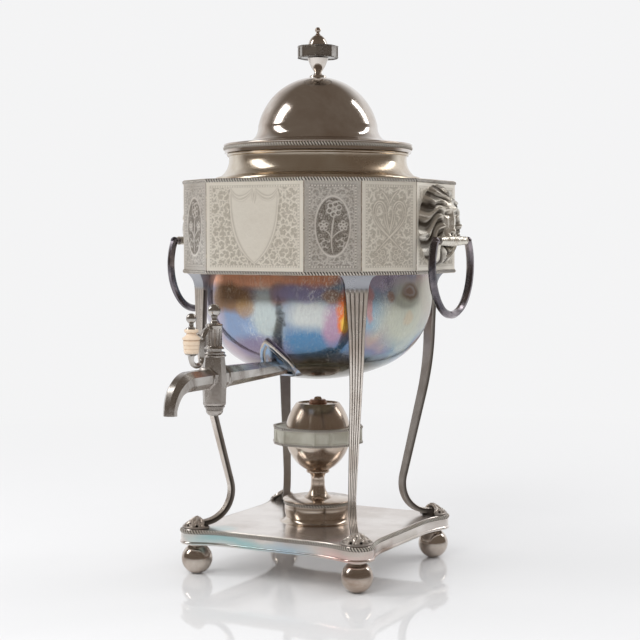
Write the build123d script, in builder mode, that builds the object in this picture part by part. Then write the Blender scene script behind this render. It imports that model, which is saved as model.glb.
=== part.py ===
from build123d import *
import math
import os

os.makedirs("parts", exist_ok=True)

# A spirit-heated tea urn: a footed stand carries a bowl with a twelve-sided belt, a domed lid,
# a tap over the front edge, two hanging ring handles and a small spirit lamp under the bowl.
# Millimetres, +Z up. The origin is on the urn's axis, on the surface that it stands on.
# The tap points along -Y and the ring handles hang at +X and -X.
# A bearing is an angle in degrees about the axis, counted from the tap towards +X.

# Clearances
running_gap = 0.05
loose_gap = 0.35

# Ball feet and base plate
foot_spacing = 131.0
ball_radius = 11.3
foot_flat_radius = 2.5
ball_neck_radius = 5.0
ball_neck_height = 1.4
plate_depth = 11.0
plate_sheet = 1.6
corner_radius = 11.6
side_inset = 6.6
side_curve_radius = 70.0
plate_moulding_depth = 2.2
plate_moulding_proud = 0.7
stud_radius = 1.8
stud_depth_in_ball = 9.0
stud_rise = 3.5

# Rope borders
border_height = 3.0
border_proud = 1.1
base_border_proud = 0.9
border_seat = 1.2

# Legs and paws. A reach is measured from the foot's centre along the leg's own plane.
leg_thickness = 3.5
leg_bowl_gap = 2.0
leg_straight_length = 67.5
leg_knee_curve = 200.0
leg_heel_reach = 34.8
leg_heel_curve = 23.0
leg_toe_reach = 2.1
leg_foot_lift = 1.15
leg_capital_width = 26.4
leg_capital_depth = 11.5
leg_capital_proud = 4.5
leg_flare_share = 0.22
leg_head_width = 16.0
leg_waist_width = 11.3
leg_waist_drop = 41.5
leg_middle_width = 8.4
leg_middle_drop = 85.0
leg_ankle_width = 5.6
leg_ankle_rise = 28.5
paw_back_reach = 13.6
paw_front_reach = 11.6
paw_width = 19.0
paw_back_width = 8.0
paw_height = 7.4
paw_back_fall = 1.0
paw_slope = 4.2
toe_radius = 2.9
toe_count = 5
toe_setback = 3.0
toe_nail_height = 1.6

# Lamp drum on the base plate
drum_radius = 24.8
drum_height = 15.9
drum_waist_inset = 0.8
drum_foot_flare = 3.6
drum_sheet = 1.5
drum_foot_height = 4.0
drum_belly_inset = 0.1
drum_ledge = 3.35

# Twelve-sided belt
belt_circumradius = 101.2
belt_sheet = 1.6
shield_half_angle = 22.6
flower_edge_angle = 45.0
lion_half_angle = 19.6

# Bowl: a shallow base arc, a side arc and a short upright wall that the belt hangs over
belt_overhang = 16.4
bowl_base_distance = 107.0
bowl_depth = 79.0
bowl_upright_height = 17.0
bowl_base_flattening = 6.0
bowl_sheet = 1.5

# Neck
shoulder_width = 24.7
neck_height = 20.7
neck_foot_height = 1.6
neck_bead = 4.1
neck_cove = 10.7
neck_cove_inset = 1.7
neck_cove_height = 9.1
neck_lip_proud = 1.2
neck_lip_height = 1.5
neck_sheet = 1.6
neck_cove_start = (-0.6, 0.8)

# Lid
lid_overhang = 2.8
lid_rim_height = 6.6
lid_flange_rise = 2.2
lid_foot_width = 3.2
lid_foot_height = 2.6
lid_foot_curve = 3.4
dome_radius = 45.0
lid_sheet = 1.4
lid_rim_undercut = 0.8
lid_edge_thickness = 1.6
lid_seat_width = 2.6
bezel_depth = 11.0
bezel_sheet = 1.4

# Finial on the lid
finial_disc_radius = 6.3
finial_disc_height = 1.2
finial_disc_edge = 0.5
finial_neck_height = 2.6
finial_neck_hollow = 0.4
finial_waist_radius = 2.8
finial_cup_radius = 7.6
finial_cup_height = 9.8
finial_cup_belly_radius = 5.8
finial_cup_belly_height = 5.0
finial_band_radius = 15.0
finial_band_height = 8.9
finial_cap_radius = 7.2
finial_cap_height = 8.5
finial_cap_belly_radius = 5.75
finial_cap_belly_height = 4.75
finial_collar_radius = 1.6
finial_tip_radius = 1.1
finial_ball_rise = 3.35
finial_ball_radius = 2.15
finial_stud_radius = 1.5
finial_nut_radius = 4.5
finial_nut_height = 3.0
finial_nut_set = 0.4

# Spirit lamp
lamp_disc_overhang = 1.5
lamp_disc_height = 1.7
lamp_disc_fall = 0.6
lamp_spigot_depth = 3.0
lamp_stem_foot_radius = 10.5
lamp_stem_radius = 5.2
lamp_stem_height = 18.6
lamp_stem_swell = 1.5
lamp_stem_swell_height = 4.2
lamp_stem_neck_height = 11.4
lamp_stem_flare = 0.4
lamp_bead_radius = 8.7
lamp_bead_height = 2.2
lamp_globe_radius = 24.4
lamp_bowl_height = 27.0
lamp_bowl_foot_radius = 8.3
lamp_dome_height = 23.4
lamp_mouth_radius = 16.0
lamp_mouth_lip = 1.0
lamp_sheet = 1.3
lamp_band_overhang = 9.0
lamp_band_height = 13.5
lamp_band_drop = 6.8
lamp_collar_wall = 1.55
lamp_collar_height = 3.2
wick_radius = 2.7
wick_tube_wall = 2.3
wick_tube_depth = 17.0
wick_flange_height = 1.4
wick_flange_proud = 1.0
wick_stand_out = 2.1
wick_length = 28.0

# Tap
tap_rise = 12.45
barrel_bowl_distance = 60.7
barrel_radius = 8.3
barrel_top_taper = 1.3
barrel_foot_taper = 0.7
barrel_above = 14.0
barrel_below = 16.4
barrel_collar_height = 3.2
barrel_collar_step = 1.3
barrel_collar_groove = 0.3
barrel_collar_proud = 0.5
barrel_ring_height = 2.2
barrel_ring_rise = 0.8
barrel_ring_inset = 1.2
barrel_wall = 2.1
plug_taper = 1.0
water_bore_radius = 2.6
shank_bowl_radius = 5.0
shank_tail_inset = 0.5
shank_tail_reach = 6.0
shank_barrel_inset = 0.6
spout_inset = 1.4
spout_wall = 1.5
spout_run_length = 32.5
spout_bend_radius = 20.0
strainer_thickness = 1.0
strainer_rim_width = 0.9
strainer_hole_radius = 0.55
strainer_circle_radius = 1.5
strainer_hole_count = 6
shield_apex_height = 19.3
shield_foot_drop = 7.0
shield_half_width = 10.4
shield_shoulder_rise = 5.0
shield_foot_half_width = 7.0
shield_arch_width = 6.6
shield_arch_height = 12.0
shield_flank_width = 10.0
shield_flank_drop = 2.8
shield_thickness = 2.8
shield_rim_width = 1.7
shield_recess_depth = 1.1

# Tap key
bolt_inset = 1.4
nut_inset = 1.6
nut_height = 5.6
nut_tip_radius = 3.2
nut_edge = 0.4
nut_edge_drop = 2.5
nut_thread_depth = 3.9
washer_inset = 0.8
washer_thickness = 0.8
post_radius = 5.3
post_height = 15.0
post_flange_proud = 1.2
post_flange_height = 1.8
post_flange_edge = 0.9
cap_radius = 5.5
cap_height = 2.2
cap_edge = 0.6
cap_edge_height = 1.1
key_neck_radius = 1.9
key_neck_flare = 0.8
key_neck_flare_height = 1.7
key_ball_radius = 4.4
key_ball_rise = 8.1
lever_radius = 1.75
lever_top_drop = 1.5
lever_root_reach = 2.0
lever_reach = 14.9
lever_shoulder_curve = 9.0
lever_foot_curve = 5.2
lever_grip_reach = 27.6
lever_grip_rise = 8.0
lever_spout_gap = 0.9
grip_height = 16.0
grip_radius = 6.0
grip_foot_radius = 4.6
grip_edge = 0.6
grip_lip = 1.0
grip_belly_height = 8.8
grip_rim_height = 9.9
grip_shoulder_height = 10.9
grip_neck_radius = 3.8
grip_neck_height = 13.4
grip_top_radius = 4.7
grip_ball_radius = 3.4
grip_ball_rise = 6.9
grip_ball_neck_radius = 1.5
grip_ball_neck_height = 2.2

# Ring handles and lion masks
ring_radius = 34.6
ring_wire_radius = 2.75
ring_pivot_rise = 23.45
ring_pivot_drop = 18.0
ring_pivot_stand_off = 12.2
ring_pin_radius = 2.0
ring_knob_radius = 2.9
bush_wall = 1.85
bush_length = 47.0
mask_half_width = 31.0
mask_height = 58.0
mask_foot_gap = 2.45
mask_mane_depth = 9.0
mask_mane_bevel = 6.5
mask_face_radius = 19.0
mask_face_depth = 12.5
mask_face_drop = 4.0
mask_muzzle_radius = 9.0
mask_muzzle_depth = 14.5
mask_muzzle_lift = 6.6
mask_chin_radius = 5.4
mask_chin_depth = 10.5
mask_chin_drop = 6.4
ear_radius = 5.0
ear_depth = 8.5
ear_spread = 22.0
ear_lift = 14.0

# Heights and distances that follow from the sizes above
eight_sides = 8
half_side = 180 / eight_sides
ball_centre = math.sqrt(ball_radius**2 - foot_flat_radius**2)
ball_top = ball_centre + math.sqrt(ball_radius**2 - ball_neck_radius**2)
plate_bottom = ball_top + ball_neck_height
plate_top = plate_bottom + plate_depth
foot_circle = foot_spacing / math.sqrt(2)
drum_top = plate_top + drum_height
bowl_bottom = plate_top + bowl_base_distance
belt_bottom = bowl_bottom + bowl_depth
belt_height = 2 * border_height + loose_gap + mask_height + mask_foot_gap
belt_top = belt_bottom + belt_height
neck_top = belt_top + neck_height
lid_seat = neck_top + running_gap
lid_edge_top = lid_seat + lid_rim_height
lid_foot_bottom = lid_edge_top + lid_flange_rise
dome_centre = lid_foot_bottom + lid_foot_height
belt_flat_distance = belt_circumradius * math.cos(math.radians(lion_half_angle))
bowl_radius = belt_circumradius - belt_overhang
bowl_turn = belt_bottom - bowl_upright_height
bowl_turn_rise = bowl_turn - bowl_bottom
bowl_side_radius = bowl_turn_rise - bowl_base_flattening
bowl_side_in = bowl_radius - bowl_side_radius
bowl_base_radius = (bowl_side_in**2 + bowl_turn_rise**2 - bowl_side_radius**2) / (2 * bowl_base_flattening)
bowl_base_centre = bowl_bottom + bowl_base_radius
bowl_join_angle = math.degrees(math.atan2(bowl_base_centre - bowl_turn, bowl_side_in))
collar_top = belt_bottom + belt_sheet
tap_height = bowl_bottom + tap_rise
barrel_distance = bowl_radius + barrel_bowl_distance


def at_bearing(bearing, distance, height=0.0):
    """The point at a bearing, a distance from the axis and a height."""
    turn = math.radians(bearing)
    return Vector(distance * math.sin(turn), -distance * math.cos(turn), height)


def side_plane(bearing, aside=0.0):
    """The upright plane along a bearing, set aside from the axis: local X runs outwards, Y up."""
    outwards = at_bearing(bearing, 1.0)
    place = at_bearing(bearing + 90, aside)
    return Plane(origin=place, x_dir=outwards, z_dir=outwards.cross(Vector(0, 0, 1)))


def front_plane(bearing, distance=0.0, height=0.0, aside=0.0):
    """The upright plane square to a bearing: local X runs sideways, local Y up and Z outwards."""
    outwards = at_bearing(bearing, 1.0)
    sideways = at_bearing(bearing + 90, 1.0)
    place = at_bearing(bearing, distance, height) + sideways * aside
    return Plane(origin=place, x_dir=sideways, z_dir=outwards)


def tap_plane(distance):
    """The upright plane square to the tap's water way, a distance out from the urn's axis."""
    return Plane(origin=(0, -distance, tap_height), x_dir=(1, 0, 0), z_dir=(0, -1, 0))


def base_outline(grow):
    """The base plate's plan: straight sides that swell out round a lobe at each foot."""
    half = foot_spacing / 2
    side = half + corner_radius - side_inset
    across = side + side_curve_radius - half
    run = math.sqrt((side_curve_radius + corner_radius) ** 2 - across**2)
    hollow = Vector(side + side_curve_radius, half - run)
    lobe = Vector(half, half)
    meeting = lobe + (hollow - lobe).normalized() * corner_radius
    straight_end = Vector(side, hollow.Y)
    turn_in = ((meeting - hollow).normalized() + Vector(-1, 0)).normalized()
    hollow_middle = hollow + turn_in * side_curve_radius
    lobe_middle = lobe + Vector(1, 1).normalized() * corner_radius
    corner_points = (
        Vector(side, -hollow.Y),
        straight_end,
        hollow_middle,
        meeting,
        lobe_middle,
        Vector(meeting.Y, meeting.X),
        Vector(hollow_middle.Y, hollow_middle.X),
        Vector(straight_end.Y, straight_end.X),
    )
    with BuildSketch() as outline:
        with BuildLine():
            for quarter in range(4):
                turned = [point.rotate(Axis.Z, 90 * quarter) for point in corner_points]
                Line(turned[0], turned[1])
                ThreePointArc(turned[1], turned[2], turned[3])
                ThreePointArc(turned[3], turned[4], turned[5])
                ThreePointArc(turned[5], turned[6], turned[7])
        make_face()
        if grow:
            offset(amount=grow)
    return outline.sketch


def belt_outline(circumradius, grow):
    """The twelve-sided plan shared by the belt, the lamp's band and the finial."""
    lion_edge = 90 - lion_half_angle
    quarter = (shield_half_angle, flower_edge_angle, lion_edge)
    bearings = list(quarter)
    bearings += [180 - bearing for bearing in reversed(quarter)]
    bearings += [180 + bearing for bearing in quarter]
    bearings += [360 - bearing for bearing in reversed(quarter)]
    with BuildSketch() as outline:
        corners = [at_bearing(bearing, circumradius) for bearing in bearings]
        Polygon(*[(corner.X, corner.Y) for corner in corners], align=None)
        if grow:
            offset(amount=grow, kind=Kind.INTERSECTION)
    return outline.sketch


def bowl_reach(height):
    """The bowl's outer radius at a height on its base arc or its side arc."""
    join_drop = bowl_side_radius * math.sin(math.radians(bowl_join_angle))
    if height > bowl_turn - join_drop:
        return bowl_side_in + math.sqrt(bowl_side_radius**2 - (bowl_turn - height) ** 2)
    return math.sqrt(bowl_base_radius**2 - (bowl_base_centre - height) ** 2)


def bowl_filling(grow):
    """The solid inside the bowl's outer surface, with that surface moved out by a distance."""
    side = bowl_radius + grow
    with BuildPart() as filling:
        with BuildSketch(Plane.XZ):
            with BuildLine():
                Line((0, collar_top), (0, bowl_bottom - grow))
                CenterArc((0, bowl_base_centre), bowl_base_radius + grow, -90, 90 - bowl_join_angle)
                CenterArc(
                    (bowl_side_in, bowl_turn), bowl_side_radius + grow, -bowl_join_angle, bowl_join_angle
                )
                Polyline((side, bowl_turn), (side, collar_top), (0, collar_top))
            make_face()
        revolve(axis=Axis.Z)
    return filling.part


def write(piece, name):
    """Label a finished piece and write its file."""
    piece.part.label = name
    export_step(piece.part, f"parts/{name}.step")


# Plans used by several pieces
base_plan = base_outline(0)
base_step_plan = base_outline(-border_seat)
base_inside_plan = base_outline(-plate_sheet)
base_moulding_plan = base_outline(plate_moulding_proud)
base_border_plan = base_outline(base_border_proud)
belt_plan = belt_outline(belt_circumradius, 0)
belt_inside_plan = belt_outline(belt_circumradius, -belt_sheet)
belt_border_plan = belt_outline(belt_circumradius, border_proud)


# Base plate: a tray with a turned-down rim, a moulding at its lower edge and a boss at each foot
with BuildPart() as base_plate:
    with BuildSketch(Plane.XY.offset(plate_bottom)):
        add(base_plan)
    extrude(amount=plate_depth - border_height)
    with BuildSketch(Plane.XY.offset(plate_bottom)):
        add(base_moulding_plan)
    extrude(amount=plate_moulding_depth)
    with BuildSketch(Plane.XY.offset(plate_bottom)):
        add(base_step_plan)
    extrude(amount=plate_depth)
    with BuildSketch(Plane.XY.offset(plate_bottom)):
        add(base_inside_plan)
    extrude(amount=plate_depth - plate_sheet, mode=Mode.SUBTRACT)
    with BuildSketch(Plane.XY.offset(ball_top)):
        with GridLocations(foot_spacing, foot_spacing, 2, 2):
            Circle(ball_neck_radius)
    extrude(amount=plate_top - plate_sheet - ball_top)
    with BuildSketch(Plane.XY):
        with GridLocations(foot_spacing, foot_spacing, 2, 2):
            Circle(stud_radius)
    extrude(amount=plate_top, mode=Mode.SUBTRACT)
write(base_plate, "base_plate")

with BuildPart() as base_border:
    with BuildSketch(Plane.XY.offset(plate_top - border_height)):
        add(base_border_plan)
        add(base_step_plan, mode=Mode.SUBTRACT)
    extrude(amount=border_height)
write(base_border, "base_border")

# Feet by name, bearing, and the side that the leg above turns to, to stand square to its panel
feet = (
    ("front_right", 45.0, -1),
    ("back_right", 135.0, 1),
    ("back_left", 225.0, -1),
    ("front_left", 315.0, 1),
)

# Ball feet, each with a small flat that it rests on and a blind hole for its stud
for corner, bearing, _ in feet:
    with BuildPart() as ball_foot:
        with Locations(at_bearing(bearing, foot_circle, ball_centre)):
            Sphere(ball_radius)
        with BuildSketch(Plane.XY):
            with Locations(at_bearing(bearing, foot_circle)):
                Rectangle(3 * ball_radius, 3 * ball_radius)
        extrude(amount=ball_top, mode=Mode.INTERSECT)
        with BuildSketch(Plane.XY.offset(ball_top)):
            with Locations(at_bearing(bearing, foot_circle)):
                Circle(stud_radius)
        extrude(amount=-stud_depth_in_ball, mode=Mode.SUBTRACT)
    write(ball_foot, f"ball_foot_{corner}")

with BuildPart() as foot_studs:
    with BuildSketch(Plane.XY.offset(ball_top - stud_depth_in_ball)):
        with GridLocations(foot_spacing, foot_spacing, 2, 2):
            Circle(stud_radius)
    extrude(amount=plate_top + stud_rise - ball_top + stud_depth_in_ball)
write(foot_studs, "foot_studs")

# Legs: a flat bar that drops from the belt, curves in and sweeps out into its paw.
# The side view gives its line, thickness and flared head, and the front view its taper.
# Each leg's plane passes through its foot and is square to the flower panel of the belt.
leg_turn = flower_edge_angle - (shield_half_angle + flower_edge_angle) / 2
foot_reach = foot_circle * math.cos(math.radians(leg_turn))
foot_aside = foot_circle * math.sin(math.radians(leg_turn))
leg_top_radius = bowl_radius + leg_bowl_gap + leg_thickness / 2
leg_top_reach = math.sqrt(leg_top_radius**2 - foot_aside**2)
leg_face_reach = leg_top_reach + leg_thickness / 2
leg_foot_level = plate_top + leg_thickness / 2 + leg_foot_lift
leg_head_level = belt_bottom - leg_capital_depth
flare_level = (belt_bottom + leg_head_level) / 2
flare_reach = leg_face_reach + leg_flare_share * leg_capital_proud
flare_half_width = (
    leg_flare_share * leg_capital_width / 2 + (1 - leg_flare_share) * leg_head_width / 2
)
for corner, bearing, turn_side in feet:
    heading = bearing + turn_side * leg_turn
    aside = -turn_side * foot_aside
    with BuildPart() as leg:
        with BuildSketch(side_plane(heading, aside)):
            with BuildLine():
                FilletPolyline(
                    (leg_top_reach, belt_bottom),
                    (leg_top_reach, belt_bottom - leg_straight_length),
                    (foot_reach - leg_heel_reach, leg_foot_level),
                    (foot_reach - leg_toe_reach, leg_foot_level),
                    radius=(leg_knee_curve, leg_heel_curve),
                )
            trace(line_width=leg_thickness)
            with BuildLine():
                Polyline(
                    (leg_face_reach, leg_head_level),
                    (leg_top_reach, leg_head_level),
                    (leg_top_reach, belt_bottom),
                    (leg_face_reach + leg_capital_proud, belt_bottom),
                )
                ThreePointArc(
                    (leg_face_reach + leg_capital_proud, belt_bottom),
                    (flare_reach, flare_level),
                    (leg_face_reach, leg_head_level),
                )
            make_face()
        extrude(amount=leg_capital_width, both=True)
        with BuildSketch(front_plane(heading, aside=aside)):
            with BuildLine():
                capital = (leg_capital_width / 2, belt_bottom)
                head = (leg_head_width / 2, leg_head_level)
                waist = (leg_waist_width / 2, belt_bottom - leg_waist_drop)
                middle = (leg_middle_width / 2, belt_bottom - leg_middle_drop)
                ThreePointArc(capital, (flare_half_width, flare_level), head)
                ThreePointArc(head, waist, middle)
                Polyline(
                    middle,
                    (leg_ankle_width / 2, plate_top + leg_ankle_rise),
                    (leg_ankle_width / 2, plate_top),
                    (0, plate_top),
                    (0, belt_bottom),
                    capital,
                )
            make_face()
            mirror(about=Plane.YZ)
        extrude(amount=foot_reach + leg_face_reach, mode=Mode.INTERSECT)
    write(leg, f"leg_{corner}")

    foot_point = at_bearing(bearing, foot_circle, plate_top)
    paw_plane = Plane(origin=foot_point, x_dir=at_bearing(heading, 1.0), z_dir=(0, 0, 1))
    with BuildPart() as paw:
        with BuildSketch(paw_plane):
            toe_line = paw_front_reach - toe_radius
            spread = paw_width / 2 - toe_radius
            Polygon(
                (-paw_back_reach, -paw_back_width / 2),
                (toe_line, -spread),
                (toe_line, spread),
                (-paw_back_reach, paw_back_width / 2),
                align=None,
            )
            for toe in range(toe_count):
                place = 2 * toe / (toe_count - 1) - 1
                with Locations((toe_line - toe_setback * place**2, spread * place)):
                    Circle(toe_radius)
        extrude(amount=paw_height)
        with BuildSketch(side_plane(heading, aside)):
            with BuildLine():
                back = foot_reach - paw_back_reach
                front = foot_reach + paw_front_reach
                Polyline(
                    (back, plate_top + paw_height - paw_back_fall),
                    (back, plate_top),
                    (front, plate_top),
                    (front, plate_top + toe_nail_height),
                )
                ThreePointArc(
                    (front, plate_top + toe_nail_height),
                    (front - paw_slope, plate_top + paw_height - toe_nail_height),
                    (foot_reach, plate_top + paw_height),
                )
                Line(
                    (foot_reach, plate_top + paw_height), (back, plate_top + paw_height - paw_back_fall)
                )
            make_face()
        extrude(amount=paw_width, both=True, mode=Mode.INTERSECT)
        add(leg.part, mode=Mode.SUBTRACT)
        with BuildSketch(Plane.XY.offset(plate_top)):
            with Locations((foot_point.X, foot_point.Y)):
                Circle(stud_radius)
        extrude(amount=stud_rise, mode=Mode.SUBTRACT)
    write(paw, f"paw_{corner}")

# Drum that carries the lamp: a waisted ring with an open top that the lamp's spigot drops into
drum_border_bottom = drum_top - border_height
drum_waist_radius = drum_radius - drum_waist_inset
drum_foot_radius = drum_radius + drum_foot_flare
spigot_hole_radius = drum_waist_radius - drum_sheet - drum_ledge
with BuildPart() as lamp_drum:
    with BuildSketch(Plane.XZ):
        with BuildLine():
            Polyline(
                (drum_radius, drum_border_bottom),
                (drum_radius, drum_top),
                (spigot_hole_radius, drum_top),
                (spigot_hole_radius, drum_top - drum_sheet),
                (drum_waist_radius - drum_sheet, drum_top - drum_sheet),
                (drum_waist_radius - drum_sheet, plate_top),
                (drum_foot_radius, plate_top),
            )
            waist_point = (drum_waist_radius, plate_top + drum_foot_height)
            RadiusArc((drum_foot_radius, plate_top), waist_point, -drum_foot_height)
            ThreePointArc(
                waist_point,
                (drum_radius - drum_belly_inset, (waist_point[1] + drum_border_bottom) / 2),
                (drum_radius, drum_border_bottom),
            )
        make_face()
    revolve(axis=Axis.Z)
write(lamp_drum, "lamp_drum")

with BuildPart() as lamp_drum_border:
    with BuildSketch(Plane.XY.offset(drum_border_bottom)):
        Circle(drum_radius + border_proud)
        Circle(drum_radius, mode=Mode.SUBTRACT)
    extrude(amount=border_height)
write(lamp_drum_border, "lamp_drum_border")

# Tap shank, made before the bowl because the bowl is pierced for it.
# An eight-sided taper runs from the bowl to the barrel, with a round tail through the bowl's wall.
shank_tail_radius = shank_bowl_radius - shank_tail_inset
shank_root = bowl_reach(tap_height - shank_bowl_radius)
shank_inner_end = bowl_reach(tap_height - shank_tail_radius) - shank_tail_reach
shank_tail_end = bowl_reach(tap_height + shank_tail_radius) + bowl_sheet
strainer_radius = shank_tail_radius - strainer_rim_width
with BuildPart() as shank_tail:
    with BuildSketch(tap_plane(shank_inner_end)):
        Circle(shank_tail_radius)
    extrude(amount=shank_tail_end - shank_inner_end)

barrel_top_radius = barrel_radius - barrel_top_taper
barrel_foot_radius = barrel_radius - barrel_foot_taper
barrel_foot = tap_height - barrel_below
barrel_top = tap_height + barrel_above
with BuildPart() as barrel_envelope:
    for level, radius in (
        (barrel_foot, barrel_foot_radius),
        (tap_height, barrel_radius),
        (barrel_top, barrel_top_radius),
    ):
        with BuildSketch(Plane.XY.offset(level)):
            with Locations((0, -barrel_distance)):
                RegularPolygon(radius, eight_sides, rotation=half_side)
    loft(ruled=True)

with BuildPart() as tap_shank:
    with BuildSketch(tap_plane(shank_root)):
        RegularPolygon(shank_bowl_radius, eight_sides, rotation=half_side)
    with BuildSketch(tap_plane(barrel_distance)):
        RegularPolygon(barrel_radius - shank_barrel_inset, eight_sides, rotation=half_side)
    loft()
    add(bowl_filling(0), mode=Mode.SUBTRACT)
    add(shank_tail.part)
    with BuildSketch(tap_plane(shank_inner_end)):
        Circle(strainer_radius)
    extrude(amount=strainer_thickness, mode=Mode.SUBTRACT)
    with BuildSketch(tap_plane(shank_inner_end)):
        Circle(water_bore_radius)
    extrude(amount=barrel_distance - shank_inner_end, mode=Mode.SUBTRACT)
    add(barrel_envelope.part, mode=Mode.SUBTRACT)
write(tap_shank, "tap_shank")

with BuildPart() as tap_strainer:
    with BuildSketch(tap_plane(shank_inner_end)):
        Circle(strainer_radius)
        Circle(strainer_hole_radius, mode=Mode.SUBTRACT)
        with PolarLocations(strainer_circle_radius, strainer_hole_count):
            Circle(strainer_hole_radius, mode=Mode.SUBTRACT)
    extrude(amount=strainer_thickness)
write(tap_strainer, "tap_strainer")

# Bowl: sheet all round, with an upright wall at the top that the belt's floor closes round
with BuildPart() as bowl:
    add(bowl_filling(0))
    add(bowl_filling(-bowl_sheet), mode=Mode.SUBTRACT)
    add(shank_tail.part, mode=Mode.SUBTRACT)
write(bowl, "bowl")

# Shield-shaped plate soldered on the bowl round the shank, with a raised rim
with BuildSketch() as shield_plan:
    with BuildLine():
        apex = (0, tap_height + shield_apex_height)
        shoulder = (shield_half_width, tap_height + shield_shoulder_rise)
        foot = (shield_foot_half_width, tap_height - shield_foot_drop)
        ThreePointArc(apex, (shield_arch_width, tap_height + shield_arch_height), shoulder)
        ThreePointArc(shoulder, (shield_flank_width, tap_height - shield_flank_drop), foot)
        Polyline(foot, (0, foot[1]), apex)
    make_face()
    mirror(about=Plane.YZ)
with BuildSketch() as shield_recess_plan:
    add(shield_plan.sketch)
    offset(amount=-shield_rim_width)
with BuildPart() as shield_recess_cutter:
    with BuildSketch(Plane.XZ):
        add(shield_recess_plan.sketch)
    extrude(amount=bowl_radius + 2 * shield_thickness)
    add(bowl_filling(shield_thickness - shield_recess_depth), mode=Mode.SUBTRACT)
with BuildPart() as tap_escutcheon:
    with BuildSketch(Plane.XZ):
        add(shield_plan.sketch)
    extrude(amount=bowl_radius + shield_thickness)
    add(bowl_filling(shield_thickness), mode=Mode.INTERSECT)
    add(bowl_filling(0), mode=Mode.SUBTRACT)
    add(shield_recess_cutter.part, mode=Mode.SUBTRACT)
    add(shank_tail.part, mode=Mode.SUBTRACT)
    add(tap_shank.part, mode=Mode.SUBTRACT)
write(tap_escutcheon, "tap_escutcheon")

# Belt: twelve flat panels with a floor ring, a shoulder plate and a rope border at each edge
with BuildPart() as belt_wall:
    with BuildSketch(Plane.XY.offset(belt_bottom)):
        add(belt_plan)
        add(belt_inside_plan, mode=Mode.SUBTRACT)
    extrude(amount=belt_height)
write(belt_wall, "belt_wall")

with BuildPart() as belt_floor:
    with BuildSketch(Plane.XY.offset(belt_bottom)):
        add(belt_inside_plan)
        Circle(bowl_radius, mode=Mode.SUBTRACT)
    extrude(amount=belt_sheet)
write(belt_floor, "belt_floor")

neck_foot_radius = belt_circumradius - shoulder_width
neck_waist_radius = neck_foot_radius - neck_cove
neck_mouth_radius = neck_waist_radius - neck_sheet
with BuildPart() as shoulder_plate:
    with BuildSketch(Plane.XY.offset(belt_top - belt_sheet)):
        add(belt_inside_plan)
        Circle(neck_mouth_radius, mode=Mode.SUBTRACT)
    extrude(amount=belt_sheet)
write(shoulder_plate, "shoulder_plate")

for name, level in (("belt_top_border", belt_top - border_height), ("belt_bottom_border", belt_bottom)):
    with BuildPart() as belt_border:
        with BuildSketch(Plane.XY.offset(level)):
            add(belt_border_plan)
            add(belt_plan, mode=Mode.SUBTRACT)
        extrude(amount=border_height)
    write(belt_border, name)

# Neck: a cove of sheet that stands on the shoulder and ends in a rolled lip
neck_foot_top = belt_top + neck_foot_height
neck_lip_bottom = neck_top - neck_lip_height
neck_lip_radius = neck_waist_radius + neck_lip_proud
cove_foot = (neck_foot_radius - neck_bead, neck_foot_top + neck_foot_height)
with BuildPart() as neck:
    with BuildSketch(Plane.XZ):
        with BuildLine():
            Polyline(
                (neck_mouth_radius, neck_top),
                (neck_mouth_radius, belt_top),
                (neck_foot_radius, belt_top),
                (neck_foot_radius, neck_foot_top),
                cove_foot,
            )
            Spline(
                cove_foot,
                (neck_waist_radius + neck_cove_inset, belt_top + neck_cove_height),
                (neck_waist_radius, neck_lip_bottom),
                tangents=(neck_cove_start, (0, 1)),
            )
            Polyline(
                (neck_waist_radius, neck_lip_bottom),
                (neck_lip_radius, neck_lip_bottom),
                (neck_lip_radius, neck_top),
                (neck_mouth_radius, neck_top),
            )
        make_face()
    revolve(axis=Axis.Z)
write(neck, "neck")

# Lid: a flat-topped rim, a flange that rises inwards and a hemispherical dome, all one shell
lid_rim_radius = neck_lip_radius + lid_overhang
lid_edge_radius = lid_rim_radius - lid_rim_undercut
lid_seat_radius = lid_edge_radius - lid_seat_width
lid_foot_radius = dome_radius + lid_foot_width
lid_edge_bottom = lid_edge_top - lid_edge_thickness
inner_dome = dome_radius - lid_sheet
dome_top = dome_centre + dome_radius
with BuildPart() as lid_shell:
    with BuildSketch(Plane.XZ):
        with BuildLine():
            Line((0, dome_centre + inner_dome), (0, dome_top))
            CenterArc((0, dome_centre), dome_radius, 0, 90)
            RadiusArc((dome_radius, dome_centre), (lid_foot_radius, lid_foot_bottom), -lid_foot_curve)
            Polyline(
                (lid_foot_radius, lid_foot_bottom),
                (lid_rim_radius, lid_edge_top),
                (lid_rim_radius, lid_edge_bottom),
                (lid_edge_radius, lid_edge_bottom),
                (lid_edge_radius, lid_seat),
                (lid_seat_radius, lid_seat),
                (lid_seat_radius, lid_edge_bottom),
                (inner_dome, lid_foot_bottom - lid_sheet),
                (inner_dome, dome_centre),
            )
            CenterArc((0, dome_centre), inner_dome, 0, 90)
        make_face()
    revolve(axis=Axis.Z)
    with BuildSketch(Plane.XY.offset(dome_centre)):
        Circle(finial_stud_radius)
    extrude(amount=2 * dome_radius, mode=Mode.SUBTRACT)
write(lid_shell, "lid_shell")

with BuildPart() as lid_border:
    with BuildSketch(Plane.XY.offset(lid_edge_bottom - border_height)):
        Circle(lid_edge_radius + border_proud)
        Circle(lid_edge_radius, mode=Mode.SUBTRACT)
    extrude(amount=border_height)
write(lid_border, "lid_border")

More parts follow.
